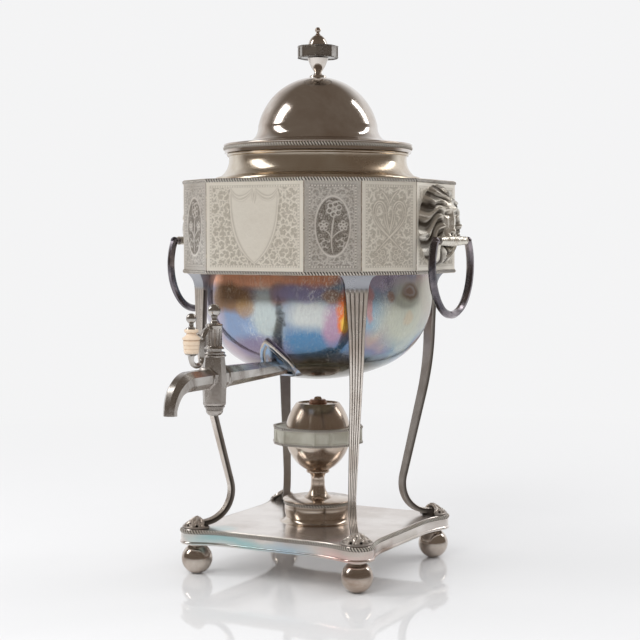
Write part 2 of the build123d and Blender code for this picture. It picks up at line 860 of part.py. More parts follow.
bezel_radius = neck_mouth_radius - loose_gap
with BuildPart() as lid_bezel:
    with BuildSketch(Plane.XY.offset(lid_seat - bezel_depth)):
        Circle(bezel_radius)
        Circle(bezel_radius - bezel_sheet, mode=Mode.SUBTRACT)
    extrude(amount=bezel_depth + lid_rim_height - lid_edge_thickness)
    with BuildSketch(Plane.XY.offset(lid_seat)):
        Circle(lid_seat_radius)
        Circle(bezel_radius - bezel_sheet, mode=Mode.SUBTRACT)
    extrude(amount=bezel_sheet)
    add(lid_shell.part, mode=Mode.SUBTRACT)
write(lid_bezel, "lid_bezel")

# Finial: a turned stem and cup, a twelve-sided band like the belt, and a cap with a small ball
finial_disc_bottom = dome_top - finial_disc_height
finial_disc_edge_top = dome_top + finial_disc_edge
finial_disc_top = dome_top + finial_disc_height
finial_neck_top = finial_disc_top + finial_neck_height
finial_band_bottom = finial_neck_top + finial_cup_height
finial_band_top = finial_band_bottom + finial_band_height
neck_hollow_radius = (finial_disc_radius + finial_waist_radius) / 2 - finial_neck_hollow
with BuildPart() as finial_stem:
    with BuildSketch(Plane.XZ):
        with BuildLine():
            Polyline(
                (finial_stud_radius, finial_disc_bottom),
                (finial_disc_radius, finial_disc_bottom),
                (finial_disc_radius, finial_disc_edge_top),
            )
            ThreePointArc(
                (finial_disc_radius, finial_disc_edge_top),
                (neck_hollow_radius, finial_disc_top),
                (finial_waist_radius, finial_neck_top),
            )
            ThreePointArc(
                (finial_waist_radius, finial_neck_top),
                (finial_cup_belly_radius, finial_neck_top + finial_cup_belly_height),
                (finial_cup_radius, finial_band_bottom),
            )
            Polyline(
                (finial_cup_radius, finial_band_bottom),
                (finial_stud_radius, finial_band_bottom),
                (finial_stud_radius, finial_disc_bottom),
            )
        make_face()
    revolve(axis=Axis.Z)
    with Locations((0, 0, dome_centre)):
        Sphere(dome_radius, mode=Mode.SUBTRACT)
write(finial_stem, "finial_stem")

with BuildPart() as finial_band:
    with BuildSketch(Plane.XY.offset(finial_band_bottom)):
        add(belt_outline(finial_band_radius, 0))
        Circle(finial_stud_radius, mode=Mode.SUBTRACT)
    extrude(amount=finial_band_height)
write(finial_band, "finial_band")

finial_cap_top = finial_band_top + finial_cap_height
finial_ball_centre = finial_cap_top + finial_ball_rise
with BuildPart() as finial_cap:
    with BuildSketch(Plane.XZ):
        with BuildLine():
            Polyline((0, finial_ball_centre), (0, finial_band_top), (finial_cap_radius, finial_band_top))
            ThreePointArc(
                (finial_cap_radius, finial_band_top),
                (finial_cap_belly_radius, finial_band_top + finial_cap_belly_height),
                (finial_collar_radius, finial_cap_top),
            )
            Polyline(
                (finial_collar_radius, finial_cap_top),
                (finial_tip_radius, finial_cap_top + finial_tip_radius),
                (finial_tip_radius, finial_ball_centre),
                (0, finial_ball_centre),
            )
        make_face()
    revolve(axis=Axis.Z)
    with Locations((0, 0, finial_ball_centre)):
        Sphere(finial_ball_radius)
write(finial_cap, "finial_cap")

# The stud screws the whole finial down to a round nut inside the dome
nut_seat = dome_centre + inner_dome - finial_nut_set
with BuildPart() as finial_nut:
    with BuildSketch(Plane.XY.offset(nut_seat - finial_nut_height)):
        Circle(finial_nut_radius)
    extrude(amount=finial_nut_height + finial_nut_set)
    with Locations((0, 0, dome_centre)):
        Sphere(inner_dome, mode=Mode.INTERSECT)
    with BuildSketch(Plane.XY.offset(nut_seat)):
        Circle(finial_stud_radius)
    extrude(amount=finial_band_top - nut_seat)
write(finial_nut, "finial_nut")

# Spirit lamp: a disc foot with a locating spigot, a turned stem with a bead, a globe in two
# shells, a twelve-sided band round the globe, and a collar that the wick tube drops into
lamp_seat = drum_top
lamp_spigot_radius = spigot_hole_radius - loose_gap
lamp_disc_radius = drum_radius + lamp_disc_overhang
lamp_disc_top = lamp_seat + lamp_disc_height
lamp_stem_neck = lamp_disc_top + lamp_stem_neck_height
lamp_bead_bottom = lamp_disc_top + lamp_stem_height
lamp_bowl_bottom = lamp_bead_bottom + lamp_bead_height
lamp_middle = lamp_bowl_bottom + lamp_bowl_height
lamp_mouth = lamp_middle + lamp_dome_height
bead_edge = lamp_bead_radius - lamp_bead_height / 2
with BuildPart() as lamp_foot:
    with BuildSketch(Plane.XZ):
        with BuildLine():
            Polyline(
                (0, lamp_bowl_bottom),
                (0, lamp_seat),
                (lamp_spigot_radius - lamp_sheet, lamp_seat),
                (lamp_spigot_radius - lamp_sheet, lamp_seat - lamp_spigot_depth),
                (lamp_spigot_radius, lamp_seat - lamp_spigot_depth),
                (lamp_spigot_radius, lamp_seat),
                (lamp_disc_radius, lamp_seat),
                (lamp_disc_radius, lamp_disc_top - lamp_disc_fall),
                (lamp_stem_foot_radius, lamp_disc_top),
            )
            ThreePointArc(
                (lamp_stem_foot_radius, lamp_disc_top),
                (lamp_stem_radius + lamp_stem_swell, lamp_disc_top + lamp_stem_swell_height),
                (lamp_stem_radius, lamp_stem_neck),
            )
            Polyline(
                (lamp_stem_radius, lamp_stem_neck),
                (lamp_stem_radius + lamp_stem_flare, lamp_bead_bottom),
                (bead_edge, lamp_bead_bottom),
            )
            ThreePointArc(
                (bead_edge, lamp_bead_bottom),
                (lamp_bead_radius, (lamp_bead_bottom + lamp_bowl_bottom) / 2),
                (bead_edge, lamp_bowl_bottom),
            )
            Line((bead_edge, lamp_bowl_bottom), (0, lamp_bowl_bottom))
        make_face()
    revolve(axis=Axis.Z)
write(lamp_foot, "lamp_foot")

inner_globe = lamp_globe_radius - lamp_sheet
inner_foot = lamp_bowl_foot_radius - lamp_sheet / 2
inner_bottom = lamp_bowl_bottom + lamp_sheet
with BuildPart() as lamp_bowl:
    with BuildSketch(Plane.XZ):
        with BuildLine():
            Polyline((0, inner_bottom), (0, lamp_bowl_bottom), (lamp_bowl_foot_radius, lamp_bowl_bottom))
            TangentArc(
                (lamp_globe_radius, lamp_middle), (lamp_bowl_foot_radius, lamp_bowl_bottom), tangent=(0, -1)
            )
            Line((lamp_globe_radius, lamp_middle), (inner_globe, lamp_middle))
            TangentArc((inner_globe, lamp_middle), (inner_foot, inner_bottom), tangent=(0, -1))
            Line((inner_foot, inner_bottom), (0, inner_bottom))
        make_face()
    revolve(axis=Axis.Z)
write(lamp_bowl, "lamp_bowl")

wick_tube_radius = wick_radius + wick_tube_wall
lamp_collar_radius = wick_tube_radius + running_gap + lamp_collar_wall
lamp_shelf = lamp_mouth - lamp_mouth_lip
collar_bottom = lamp_shelf - lamp_sheet
mouth_inside = lamp_mouth_radius - lamp_sheet
with BuildPart() as lamp_dome:
    with BuildSketch(Plane.XZ):
        with BuildLine():
            Line((inner_globe, lamp_middle), (lamp_globe_radius, lamp_middle))
            TangentArc((lamp_globe_radius, lamp_middle), (lamp_mouth_radius, lamp_mouth), tangent=(0, 1))
            Polyline(
                (lamp_mouth_radius, lamp_mouth),
                (mouth_inside, lamp_mouth),
                (mouth_inside, lamp_shelf),
                (lamp_collar_radius, lamp_shelf),
                (lamp_collar_radius, collar_bottom),
                (mouth_inside, collar_bottom),
            )
            TangentArc((inner_globe, lamp_middle), (mouth_inside, collar_bottom), tangent=(0, 1))
        make_face()
    revolve(axis=Axis.Z)
write(lamp_dome, "lamp_dome")

lamp_band_circumradius = lamp_globe_radius + lamp_band_overhang
lamp_band_bottom = lamp_middle - lamp_band_drop
with BuildPart() as lamp_band:
    with BuildSketch(Plane.XY.offset(lamp_band_bottom)):
        add(belt_outline(lamp_band_circumradius, 0))
        Circle(inner_globe + loose_gap, mode=Mode.SUBTRACT)
    extrude(amount=lamp_band_height)
    with BuildSketch(Plane.XY.offset(lamp_band_bottom + lamp_sheet)):
        add(belt_outline(lamp_band_circumradius, -lamp_sheet))
    extrude(amount=lamp_band_height - 2 * lamp_sheet, mode=Mode.SUBTRACT)
    add(lamp_bowl.part, mode=Mode.SUBTRACT)
    add(lamp_dome.part, mode=Mode.SUBTRACT)
write(lamp_band, "lamp_band")

collar_top_level = collar_bottom + lamp_collar_height
with BuildPart() as lamp_collar:
    with BuildSketch(Plane.XY.offset(collar_bottom)):
        Circle(lamp_collar_radius)
        Circle(wick_tube_radius + running_gap, mode=Mode.SUBTRACT)
    extrude(amount=lamp_collar_height)
write(lamp_collar, "lamp_collar")

with BuildPart() as wick_holder:
    with BuildSketch(Plane.XY.offset(collar_top_level - wick_tube_depth)):
        Circle(wick_tube_radius)
        Circle(wick_radius, mode=Mode.SUBTRACT)
    extrude(amount=wick_tube_depth)
    with BuildSketch(Plane.XY.offset(collar_top_level)):
        Circle(wick_tube_radius + wick_flange_proud)
        Circle(wick_radius, mode=Mode.SUBTRACT)
    extrude(amount=wick_flange_height)
write(wick_holder, "wick_holder")

wick_top = collar_top_level + wick_flange_height + wick_stand_out
with BuildPart() as wick:
    with BuildSketch(Plane.XY.offset(wick_top - wick_length)):
        Circle(wick_radius)
    extrude(amount=wick_length)
write(wick, "wick")

# Tap barrel: an eight-sided body with turned rings below and above, bored for a tapered plug
barrel_bottom = barrel_foot - barrel_ring_height
barrel_collar_top = barrel_top + barrel_collar_height
barrel_axis = Axis((0, -barrel_distance, 0), (0, 0, 1))
barrel_section = Plane(origin=(0, -barrel_distance, 0), x_dir=(1, 0, 0), z_dir=(0, -1, 0))
plug_top_radius = barrel_top_radius - barrel_wall
plug_bottom_radius = plug_top_radius - plug_taper
collar_ring_radius = barrel_top_radius + barrel_collar_proud
collar_ring_top = barrel_top + barrel_collar_step
with BuildPart() as tap_barrel:
    add(barrel_envelope.part)
    with BuildSketch(barrel_section):
        with BuildLine():
            Polyline(
                (0, barrel_bottom),
                (barrel_foot_radius - barrel_ring_inset, barrel_bottom),
                (barrel_foot_radius, barrel_bottom + barrel_ring_rise),
                (barrel_foot_radius, barrel_foot),
                (0, barrel_foot),
                (0, barrel_bottom),
            )
        make_face()
        with BuildLine():
            Polyline(
                (0, barrel_top),
                (collar_ring_radius, barrel_top),
                (collar_ring_radius, collar_ring_top),
                (barrel_top_radius - barrel_collar_proud, collar_ring_top + barrel_collar_groove),
                (barrel_top_radius, barrel_collar_top),
                (0, barrel_collar_top),
                (0, barrel_top),
            )
        make_face()
    revolve(axis=barrel_axis)
    with BuildSketch(barrel_section):
        with BuildLine():
            Polyline(
                (0, barrel_bottom),
                (plug_bottom_radius + running_gap, barrel_bottom),
                (plug_top_radius + running_gap, barrel_collar_top),
                (0, barrel_collar_top),
                (0, barrel_bottom),
            )
        make_face()
    revolve(axis=barrel_axis, mode=Mode.SUBTRACT)
    with BuildSketch(tap_plane(barrel_distance - 2 * barrel_radius)):
        Circle(water_bore_radius)
    extrude(amount=4 * barrel_radius, mode=Mode.SUBTRACT)
write(tap_barrel, "tap_barrel")

# Spout: eight-sided, level out of the barrel and then turned down, narrowing to its tip
spout_radius = barrel_radius - spout_inset
spout_tip_radius = water_bore_radius + spout_wall
bend_start = barrel_distance + spout_run_length
bend_steps = 5
with BuildPart() as tap_spout:
    for wall_mode in (Mode.ADD, Mode.SUBTRACT):
        with BuildSketch(tap_plane(barrel_distance)):
            if wall_mode == Mode.ADD:
                RegularPolygon(spout_radius, eight_sides, rotation=half_side)
            else:
                Circle(water_bore_radius)
        for step in range(bend_steps):
            share = step / (bend_steps - 1)
            turn = math.radians(90 * share)
            out = bend_start + spout_bend_radius * math.sin(turn)
            down = tap_height - spout_bend_radius * (1 - math.cos(turn))
            bend_plane = Plane(
                origin=(0, -out, down), x_dir=(1, 0, 0), z_dir=(0, -math.cos(turn), -math.sin(turn))
            )
            with BuildSketch(bend_plane):
                if wall_mode == Mode.ADD:
                    radius = spout_radius + (spout_tip_radius - spout_radius) * share
                    RegularPolygon(radius, eight_sides, rotation=half_side)
                else:
                    Circle(water_bore_radius)
        loft(mode=wall_mode)
    add(barrel_envelope.part, mode=Mode.SUBTRACT)
write(tap_spout, "tap_spout")

# Tap plug: a tapered, cross-bored plug with a post above the barrel and a bolt end below it
washer_top = barrel_bottom - running_gap
nut_top = washer_top - washer_thickness
plug_end = nut_top - nut_thread_depth
post_bottom = barrel_collar_top + running_gap
post_top = post_bottom + post_flange_height + post_height
post_flange_radius = post_radius + post_flange_proud
bolt_radius = plug_bottom_radius - bolt_inset
with BuildPart() as tap_plug:
    with BuildSketch(barrel_section):
        with BuildLine():
            Polyline(
                (0, plug_end),
                (bolt_radius, plug_end),
                (bolt_radius, barrel_bottom),
                (plug_bottom_radius, barrel_bottom),
                (plug_top_radius, barrel_collar_top),
                (plug_top_radius, post_bottom),
                (post_flange_radius, post_bottom),
                (post_flange_radius, post_bottom + post_flange_edge),
                (post_radius, post_bottom + post_flange_height),
                (post_radius, post_top),
                (0, post_top),
                (0, plug_end),
            )
        make_face()
    revolve(axis=barrel_axis)
    with BuildSketch(tap_plane(barrel_distance - barrel_radius)):
        Circle(water_bore_radius)
    extrude(amount=2 * barrel_radius, mode=Mode.SUBTRACT)
write(tap_plug, "tap_plug")

with BuildPart() as plug_washer:
    with BuildSketch(Plane.XY.offset(nut_top)):
        with Locations((0, -barrel_distance)):
            Circle(barrel_foot_radius - washer_inset)
            Circle(bolt_radius, mode=Mode.SUBTRACT)
    extrude(amount=washer_thickness)
write(plug_washer, "plug_washer")

nut_radius = barrel_foot_radius - nut_inset
with BuildPart() as plug_nut:
    with BuildSketch(barrel_section):
        with BuildLine():
            Polyline(
                (0, nut_top),
                (nut_radius, nut_top),
                (nut_radius - nut_edge, nut_top - nut_edge_drop),
                (nut_tip_radius, nut_top - nut_height),
                (0, nut_top - nut_height),
                (0, nut_top),
            )
        make_face()
    revolve(axis=barrel_axis)
    add(tap_plug.part, mode=Mode.SUBTRACT)
write(plug_nut, "plug_nut")

# Key lever: a cap on the post, and a wire that leaves it level, drops and curls up to the grip
cap_top = post_top + cap_height
lever_top = post_top - lever_top_drop
lever_bottom = tap_height + spout_radius + lever_spout_gap + lever_radius
grip_distance = barrel_distance + lever_grip_reach
grip_bottom = lever_bottom + lever_grip_rise
with BuildPart() as key_lever:
    with BuildSketch(barrel_section):
        with BuildLine():
            Polyline(
                (0, post_top),
                (cap_radius - cap_edge, post_top),
                (cap_radius, post_top + cap_edge_height),
                (key_neck_radius + key_neck_flare, cap_top),
                (0, cap_top),
                (0, post_top),
            )
        make_face()
    revolve(axis=barrel_axis)
    with BuildLine() as lever_line:
        FilletPolyline(
            (0, -barrel_distance - lever_root_reach, lever_top),
            (0, -barrel_distance - lever_reach, lever_top),
            (0, -barrel_distance - lever_reach, lever_bottom),
            (0, -grip_distance, lever_bottom),
            (0, -grip_distance, grip_bottom),
            radius=(lever_shoulder_curve, lever_foot_curve, lever_foot_curve),
        )
    with BuildSketch(Plane(origin=lever_line.line @ 0, z_dir=lever_line.line % 0)):
        Circle(lever_radius)
    sweep(path=lever_line.line)
    add(tap_plug.part, mode=Mode.SUBTRACT)
write(key_lever, "key_lever")

grip_axis = Axis((0, -grip_distance, 0), (0, 0, 1))
grip_section = Plane(origin=(0, -grip_distance, 0), x_dir=(1, 0, 0), z_dir=(0, -1, 0))
grip_top = grip_bottom + grip_height
with BuildPart() as key_grip:
    with BuildSketch(grip_section):
        with BuildLine():
            Polyline(
                (0, grip_bottom),
                (grip_foot_radius - grip_edge, grip_bottom),
                (grip_foot_radius, grip_bottom + grip_lip),
                (grip_radius - grip_edge, grip_bottom + grip_belly_height),
                (grip_radius, grip_bottom + grip_rim_height),
                (grip_radius - grip_edge, grip_bottom + grip_shoulder_height),
                (grip_neck_radius, grip_bottom + grip_neck_height),
                (grip_top_radius, grip_top - grip_lip),
                (grip_top_radius, grip_top),
                (0, grip_top),
                (0, grip_bottom),
            )
        make_face()
    revolve(axis=grip_axis)
write(key_grip, "key_grip")

grip_ball_centre = grip_top + grip_ball_rise
with BuildPart() as key_grip_finial:
    with BuildSketch(grip_section):
        with BuildLine():
            Polyline(
                (0, grip_top),
                (grip_neck_radius, grip_top),
                (grip_ball_neck_radius, grip_top + grip_ball_neck_height),
                (grip_ball_neck_radius, grip_ball_centre),
                (0, grip_ball_centre),
                (0, grip_top),
            )
        make_face()
    revolve(axis=grip_axis)
    with Locations((0, -grip_distance, grip_ball_centre)):
        Sphere(grip_ball_radius)
write(key_grip_finial, "key_grip_finial")

key_ball_centre = cap_top + key_ball_rise
with BuildPart() as key_post_finial:
    with BuildSketch(barrel_section):
        with BuildLine():
            Polyline(
                (0, cap_top),
                (key_neck_radius + key_neck_flare, cap_top),
                (key_neck_radius, cap_top + key_neck_flare_height),
                (key_neck_radius, key_ball_centre),
                (0, key_ball_centre),
                (0, cap_top),
            )
        make_face()
    revolve(axis=barrel_axis)
    with Locations((0, -barrel_distance, key_ball_centre)):
        Sphere(key_ball_radius)
write(key_post_finial, "key_post_finial")

# Lion masks, each with a bush through its mouth, and the ring handles that hang from them
mask_centre_height = belt_top - border_height - loose_gap - mask_height / 2
ring_pivot_height = belt_bottom + ring_pivot_rise
pivot_distance = belt_flat_distance + ring_pivot_stand_off
ring_centre_height = ring_pivot_height - ring_pivot_drop
pin_half_length = math.sqrt(ring_radius**2 - ring_pivot_drop**2)
bush_radius = ring_pin_radius + running_gap + bush_wall
face_ball_radius = (mask_face_radius**2 + mask_face_depth**2) / (2 * mask_face_depth)
for bearing, side in ((90.0, "right"), (270.0, "left")):
    pivot = at_bearing(bearing, pivot_distance, ring_pivot_height)
    along = at_bearing(bearing + 90, 1.0)
    outwards = at_bearing(bearing, 1.0)
    pin_plane = Plane(origin=pivot, x_dir=outwards, z_dir=along)
    with BuildPart() as ring_bush:
        with BuildSketch(pin_plane):
            Circle(bush_radius)
            Circle(ring_pin_radius + running_gap, mode=Mode.SUBTRACT)
        extrude(amount=bush_length / 2, both=True)
    write(ring_bush, f"ring_bush_{side}")

    panel = front_plane(bearing, belt_flat_distance, mask_centre_height)
    muzzle_height = ring_pivot_height + mask_muzzle_lift - mask_centre_height
    chin_height = ring_pivot_height - mask_chin_drop - mask_centre_height
    with BuildPart() as lion_mask:
        with BuildSketch(panel):
            Ellipse(mask_half_width, mask_height / 2)
        with BuildSketch(panel.offset(mask_mane_depth)):
            Ellipse(mask_half_width - mask_mane_bevel, mask_height / 2 - mask_mane_bevel)
        loft(ruled=True)
        with Locations(panel.offset(mask_face_depth - face_ball_radius)):
            with Locations((0, -mask_face_drop)):
                Sphere(face_ball_radius)
        with Locations(panel.offset(mask_muzzle_depth - mask_muzzle_radius)):
            with Locations((0, muzzle_height)):
                Sphere(mask_muzzle_radius)
        with Locations(panel.offset(mask_chin_depth - mask_chin_radius)):
            with Locations((0, chin_height)):
                Sphere(mask_chin_radius)
        with Locations(panel.offset(ear_depth - ear_radius)):
            with Locations((ear_spread, ear_lift), (-ear_spread, ear_lift)):
                Sphere(ear_radius)
        with BuildSketch(panel):
            Rectangle(4 * mask_half_width, 2 * mask_height)
        extrude(amount=2 * mask_muzzle_depth, mode=Mode.INTERSECT)
        with BuildSketch(pin_plane):
            Circle(bush_radius)
        extrude(amount=bush_length / 2, both=True, mode=Mode.SUBTRACT)
    write(lion_mask, f"lion_mask_{side}")

    with BuildPart() as ring_pin:
        with BuildSketch(pin_plane):
            Circle(ring_pin_radius)
        extrude(amount=pin_half_length, both=True)
        for end in (-1, 1):
            with Locations(pivot + along * end * pin_half_length):
                Sphere(ring_knob_radius)
    write(ring_pin, f"ring_pin_{side}")

    ring_centre = at_bearing(bearing, pivot_distance, ring_centre_height)
    half_gap = math.degrees(math.asin(pin_half_length / ring_radius))
    with BuildPart() as ring_handle:
        with BuildSketch(Plane(origin=ring_centre, x_dir=(0, 0, -1), z_dir=along)):
            with Locations((ring_radius, 0)):
                RegularPolygon(ring_wire_radius, eight_sides, rotation=half_side)
        revolve(axis=Axis(ring_centre, outwards), revolution_arc=180 - half_gap)
        mirror(about=Plane(origin=ring_centre, z_dir=along))
        add(ring_pin.part, mode=Mode.SUBTRACT)
    write(ring_handle, f"ring_handle_{side}")
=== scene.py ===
"""Dresses a footed tea urn: ropes, reeded legs, paws, engraved belt, lion masks, tap, lamp and tarnish."""

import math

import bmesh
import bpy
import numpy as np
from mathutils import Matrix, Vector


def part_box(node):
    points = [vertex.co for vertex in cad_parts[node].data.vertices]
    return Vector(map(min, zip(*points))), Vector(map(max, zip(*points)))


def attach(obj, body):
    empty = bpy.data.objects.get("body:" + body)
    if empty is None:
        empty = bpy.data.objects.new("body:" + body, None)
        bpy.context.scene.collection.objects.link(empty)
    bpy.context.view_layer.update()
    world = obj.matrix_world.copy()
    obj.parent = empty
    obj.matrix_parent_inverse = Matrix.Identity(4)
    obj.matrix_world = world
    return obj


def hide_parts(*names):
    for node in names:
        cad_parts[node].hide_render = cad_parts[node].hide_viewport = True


bl_info = {
    "name": "Tea Urn",
    "version": (1, 0, 0),
    "blender": (4, 5, 0),
    "location": "View3D > Sidebar > Tea Urn",
    "description": "Makes the visible surfaces of a silver-plated tea urn round its solids",
    "category": "Object",
}

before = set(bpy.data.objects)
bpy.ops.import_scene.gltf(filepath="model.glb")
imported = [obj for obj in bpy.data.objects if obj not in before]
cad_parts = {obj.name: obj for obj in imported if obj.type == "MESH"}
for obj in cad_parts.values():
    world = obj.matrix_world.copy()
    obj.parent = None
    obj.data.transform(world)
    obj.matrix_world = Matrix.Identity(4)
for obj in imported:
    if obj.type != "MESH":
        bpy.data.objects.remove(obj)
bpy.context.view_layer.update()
MM = 0.001
UP = np.array([0.0, 0.0, 1.0])
RIGHT = np.array([1.0, 0.0, 0.0])


def span(node):
    """The lowest and the highest corner of a solid, in millimetres."""
    low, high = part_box(node)
    return np.array(low) / MM, np.array(high) / MM


def heights(node):
    """The lowest and the highest level of a solid, in millimetres."""
    low, high = span(node)
    return low[2], high[2]


# Levels and radii that the solids give
BELT_LOW, BELT_HIGH = span("belt_wall")
BELT_BOTTOM, BELT_TOP = BELT_LOW[2], BELT_HIGH[2]
PLATE_TOP = heights("base_plate")[1]
FOOT_LOW, FOOT_HIGH = span("ball_foot_front_right")
BOWL_LOW, BOWL_HIGH = span("bowl")
BOWL_RADIUS = BOWL_HIGH[0]
BARREL_LOW, BARREL_HIGH = span("tap_barrel")
BARREL_AT = -(BARREL_LOW[1] + BARREL_HIGH[1]) / 2
BARREL_AXIS = (0.0, -BARREL_AT)
PIN_LOW, PIN_HIGH = span("ring_pin_right")
PIVOT_AT = (PIN_LOW[0] + PIN_HIGH[0]) / 2
PIVOT_HEIGHT = (PIN_LOW[2] + PIN_HIGH[2]) / 2

# The twelve-sided plan: half of the lion panel and of the shield panel, and the flower panel's edge
LION_HALF = 19.6
FLOWER_EDGE = 45.0
BELT_RADIUS = BELT_HIGH[0] / math.cos(math.radians(LION_HALF))
SHIELD_HALF = math.degrees(math.acos(BELT_HIGH[1] / BELT_RADIUS))
QUARTER = (SHIELD_HALF, FLOWER_EDGE, 90 - LION_HALF)
BEARINGS = sorted(start + hand * b for start, hand in ((0, 1), (180, -1), (180, 1), (360, -1)) for b in QUARTER)
LEG_TURN = FLOWER_EDGE - (SHIELD_HALF + FLOWER_EDGE) / 2
FOOT_AT = (FOOT_LOW[0] + FOOT_HIGH[0]) / 2
FOOT_CIRCLE = math.sqrt(2) * FOOT_AT
FOOT_REACH = FOOT_CIRCLE * math.cos(math.radians(LEG_TURN))
FOOT_ASIDE = FOOT_CIRCLE * math.sin(math.radians(LEG_TURN))
# Each foot's corner and bearing, and the hand to which its leg is turned
FEET = (("front_right", 45.0, -1), ("back_right", 135.0, 1), ("back_left", 225.0, -1), ("front_left", 315.0, 1))


class UrnSizes(bpy.types.PropertyGroup):
    """Sizes that a user may change, in millimetres or as counts."""

    rope_pitch: bpy.props.FloatProperty(name="Rope pitch", description="Groove to groove along a rope, mm", default=2.1)
    reeds: bpy.props.IntProperty(name="Reeds", description="Reeds across a leg", default=5)
    reed_depth: bpy.props.FloatProperty(name="Reed depth", description="Height of a leg's reeds, mm", default=0.9)
    around: bpy.props.IntProperty(name="Steps around", description="Steps round a turned piece", default=144)
    engraving_step: bpy.props.FloatProperty(
        name="Engraving step", description="Grid of the belt panels, mm", default=0.4
    )
    engraving_depth: bpy.props.FloatProperty(name="Engraving depth", description="Depth of a cut, mm", default=0.16)
    flutes: bpy.props.IntProperty(name="Flutes", description="Flutes round the tap key's post", default=12)


class UrnColours(bpy.types.PropertyGroup):
    """Colours that a user may change."""

    # Tarnish in hollows; on the paws the same colour also paints shade near the plate.
    groove: bpy.props.FloatVectorProperty(
        name="Groove", description="Tarnish in hollows", subtype="COLOR", default=(0.05, 0.038, 0.03)
    )
    ivory: bpy.props.FloatVectorProperty(
        name="Ivory", description="The key's grip", subtype="COLOR", default=(0.78, 0.58, 0.41)
    )
    floor: bpy.props.FloatVectorProperty(
        name="Floor", description="Pale floor", subtype="COLOR", default=(0.90, 0.90, 0.90)
    )


def sizes():
    return bpy.context.scene.urn_sizes


def colours():
    return bpy.context.scene.urn_colours


# Curves and grids


def at_bearing(bearing, distance, height=0.0):
    """Points at bearings in degrees, counted from the tap towards +X."""
    turn = np.radians(bearing)
    return np.stack(np.broadcast_arrays(distance * np.sin(turn), -distance * np.cos(turn), height), axis=-1)


def arc(start, middle, end, steps=12):
    """Points at even angles on the circle through three points of a plane."""
    a, b, c = (np.array(p, float) for p in (start, middle, end))
    double = 2 * (a[0] * (b[1] - c[1]) + b[0] * (c[1] - a[1]) + c[0] * (a[1] - b[1]))
    squares = a @ a, b @ b, c @ c
    centre_x = (squares[0] * (b[1] - c[1]) + squares[1] * (c[1] - a[1]) + squares[2] * (a[1] - b[1])) / double
    centre_y = (squares[0] * (c[0] - b[0]) + squares[1] * (a[0] - c[0]) + squares[2] * (b[0] - a[0])) / double
    centre = np.array([centre_x, centre_y])
    angles = np.unwrap([math.atan2(p[1] - centre_y, p[0] - centre_x) for p in (a, b, c)])
    turn = np.linspace(angles[0], angles[2], steps + 1)
    return centre + math.hypot(*(a - centre)) * np.stack([np.cos(turn), np.sin(turn)], axis=1)


def round_arc(centre, radius, start, end, steps=24):
    """Points on a circle between two angles in degrees."""
    turn = np.radians(np.linspace(start, end, steps + 1))
    return np.array(centre) + radius * np.stack([np.cos(turn), np.sin(turn)], axis=1)


def line(*stretches):
    """Joins points and arcs into one profile and drops points that repeat."""
    points = np.concatenate([np.atleast_2d(np.array(s, float)) for s in stretches])
    keep = np.r_[True, np.linalg.norm(np.diff(points, axis=0), axis=1) > 1e-6]
    return points[keep]


def filleted(corners, radii, steps=14):
    """Straight runs with a tangent arc at each inner corner: the arc starts radius * tan(turn / 2) from it."""
    corners = [np.array(c, float) for c in corners]
    path = [corners[0]]
    for before, corner, after, radius in zip(corners, corners[1:], corners[2:], radii):
        back = (before - corner) / np.linalg.norm(before - corner)
        ahead = (after - corner) / np.linalg.norm(after - corner)
        turn = math.pi - math.acos(np.clip(back @ ahead, -1, 1))
        reach = radius * math.tan(turn / 2)
        inwards = (back + ahead) / np.linalg.norm(back + ahead)
        centre = corner + inwards * radius / math.cos(turn / 2)
        start = (corner + back * reach - centre) / radius
        end = (corner + ahead * reach - centre) / radius
        share = np.linspace(0, 1, steps + 1)[:, None]
        swing = (np.sin((1 - share) * turn) * start + np.sin(share * turn) * end) / math.sin(turn)
        path.extend(centre + radius * swing)
    path.append(corners[-1])
    return np.array(path)


def spaced(path, step, closed=False):
    """The same path with points at even distances along it."""
    if closed:
        path = np.vstack([path, path[:1]])
    lengths = np.r_[0, np.cumsum(np.linalg.norm(np.diff(path, axis=0), axis=1))]
    count = max(2, int(round(lengths[-1] / step)))
    at = np.linspace(0, lengths[-1], count + 1)
    out = np.stack([np.interp(at, lengths, path[:, k]) for k in range(path.shape[1])], axis=1)
    return out[:-1] if closed else out


def mitred(corners, step):
    """A closed outline in even steps along each side, with outward directions that are mitred at its corners."""
    sides = np.roll(corners, -1, axis=0) - corners
    lengths = np.linalg.norm(sides, axis=1)
    normals = np.stack([sides[:, 1], -sides[:, 0]], axis=1) / lengths[:, None]
    points, outwards = [], []
    for corner, side, length, normal, before in zip(corners, sides, lengths, normals, np.roll(normals, 1, axis=0)):
        count = max(1, int(round(length / step)))
        points.append(corner + np.arange(count)[:, None] / count * side)
        mitre = (normal + before) / (1 + normal @ before)
        outwards.append(np.vstack([mitre, np.repeat(normal[None], count - 1, axis=0)]))
    return np.concatenate(points), np.concatenate(outwards)


def grid(points, wear_and_shade=None, close_rows=False, close_columns=True, caps=False):
    """Vertices, faces and wear of a grid of points; caps closes its first and last row with a face each."""
    rows, columns = points.shape[:2]
    i = np.arange(rows if close_rows else rows - 1)[:, None]
    j = np.arange(columns if close_columns else columns - 1)[None]
    down, right = (i + 1) % rows, (j + 1) % columns
    here, below = i * columns, down * columns
    quads = np.stack(np.broadcast_arrays(here + j, here + right, below + right, below + j), -1)
    faces = quads.reshape(-1, 4).tolist()
    if caps:
        faces += [list(range(columns))[::-1], list(range((rows - 1) * columns, rows * columns))]
    worn_and_shaded = np.ones((rows, columns)) if wear_and_shade is None else np.broadcast_to(wear_and_shade, (rows, columns))
    return points.reshape(-1, 3), faces, worn_and_shaded.reshape(-1)


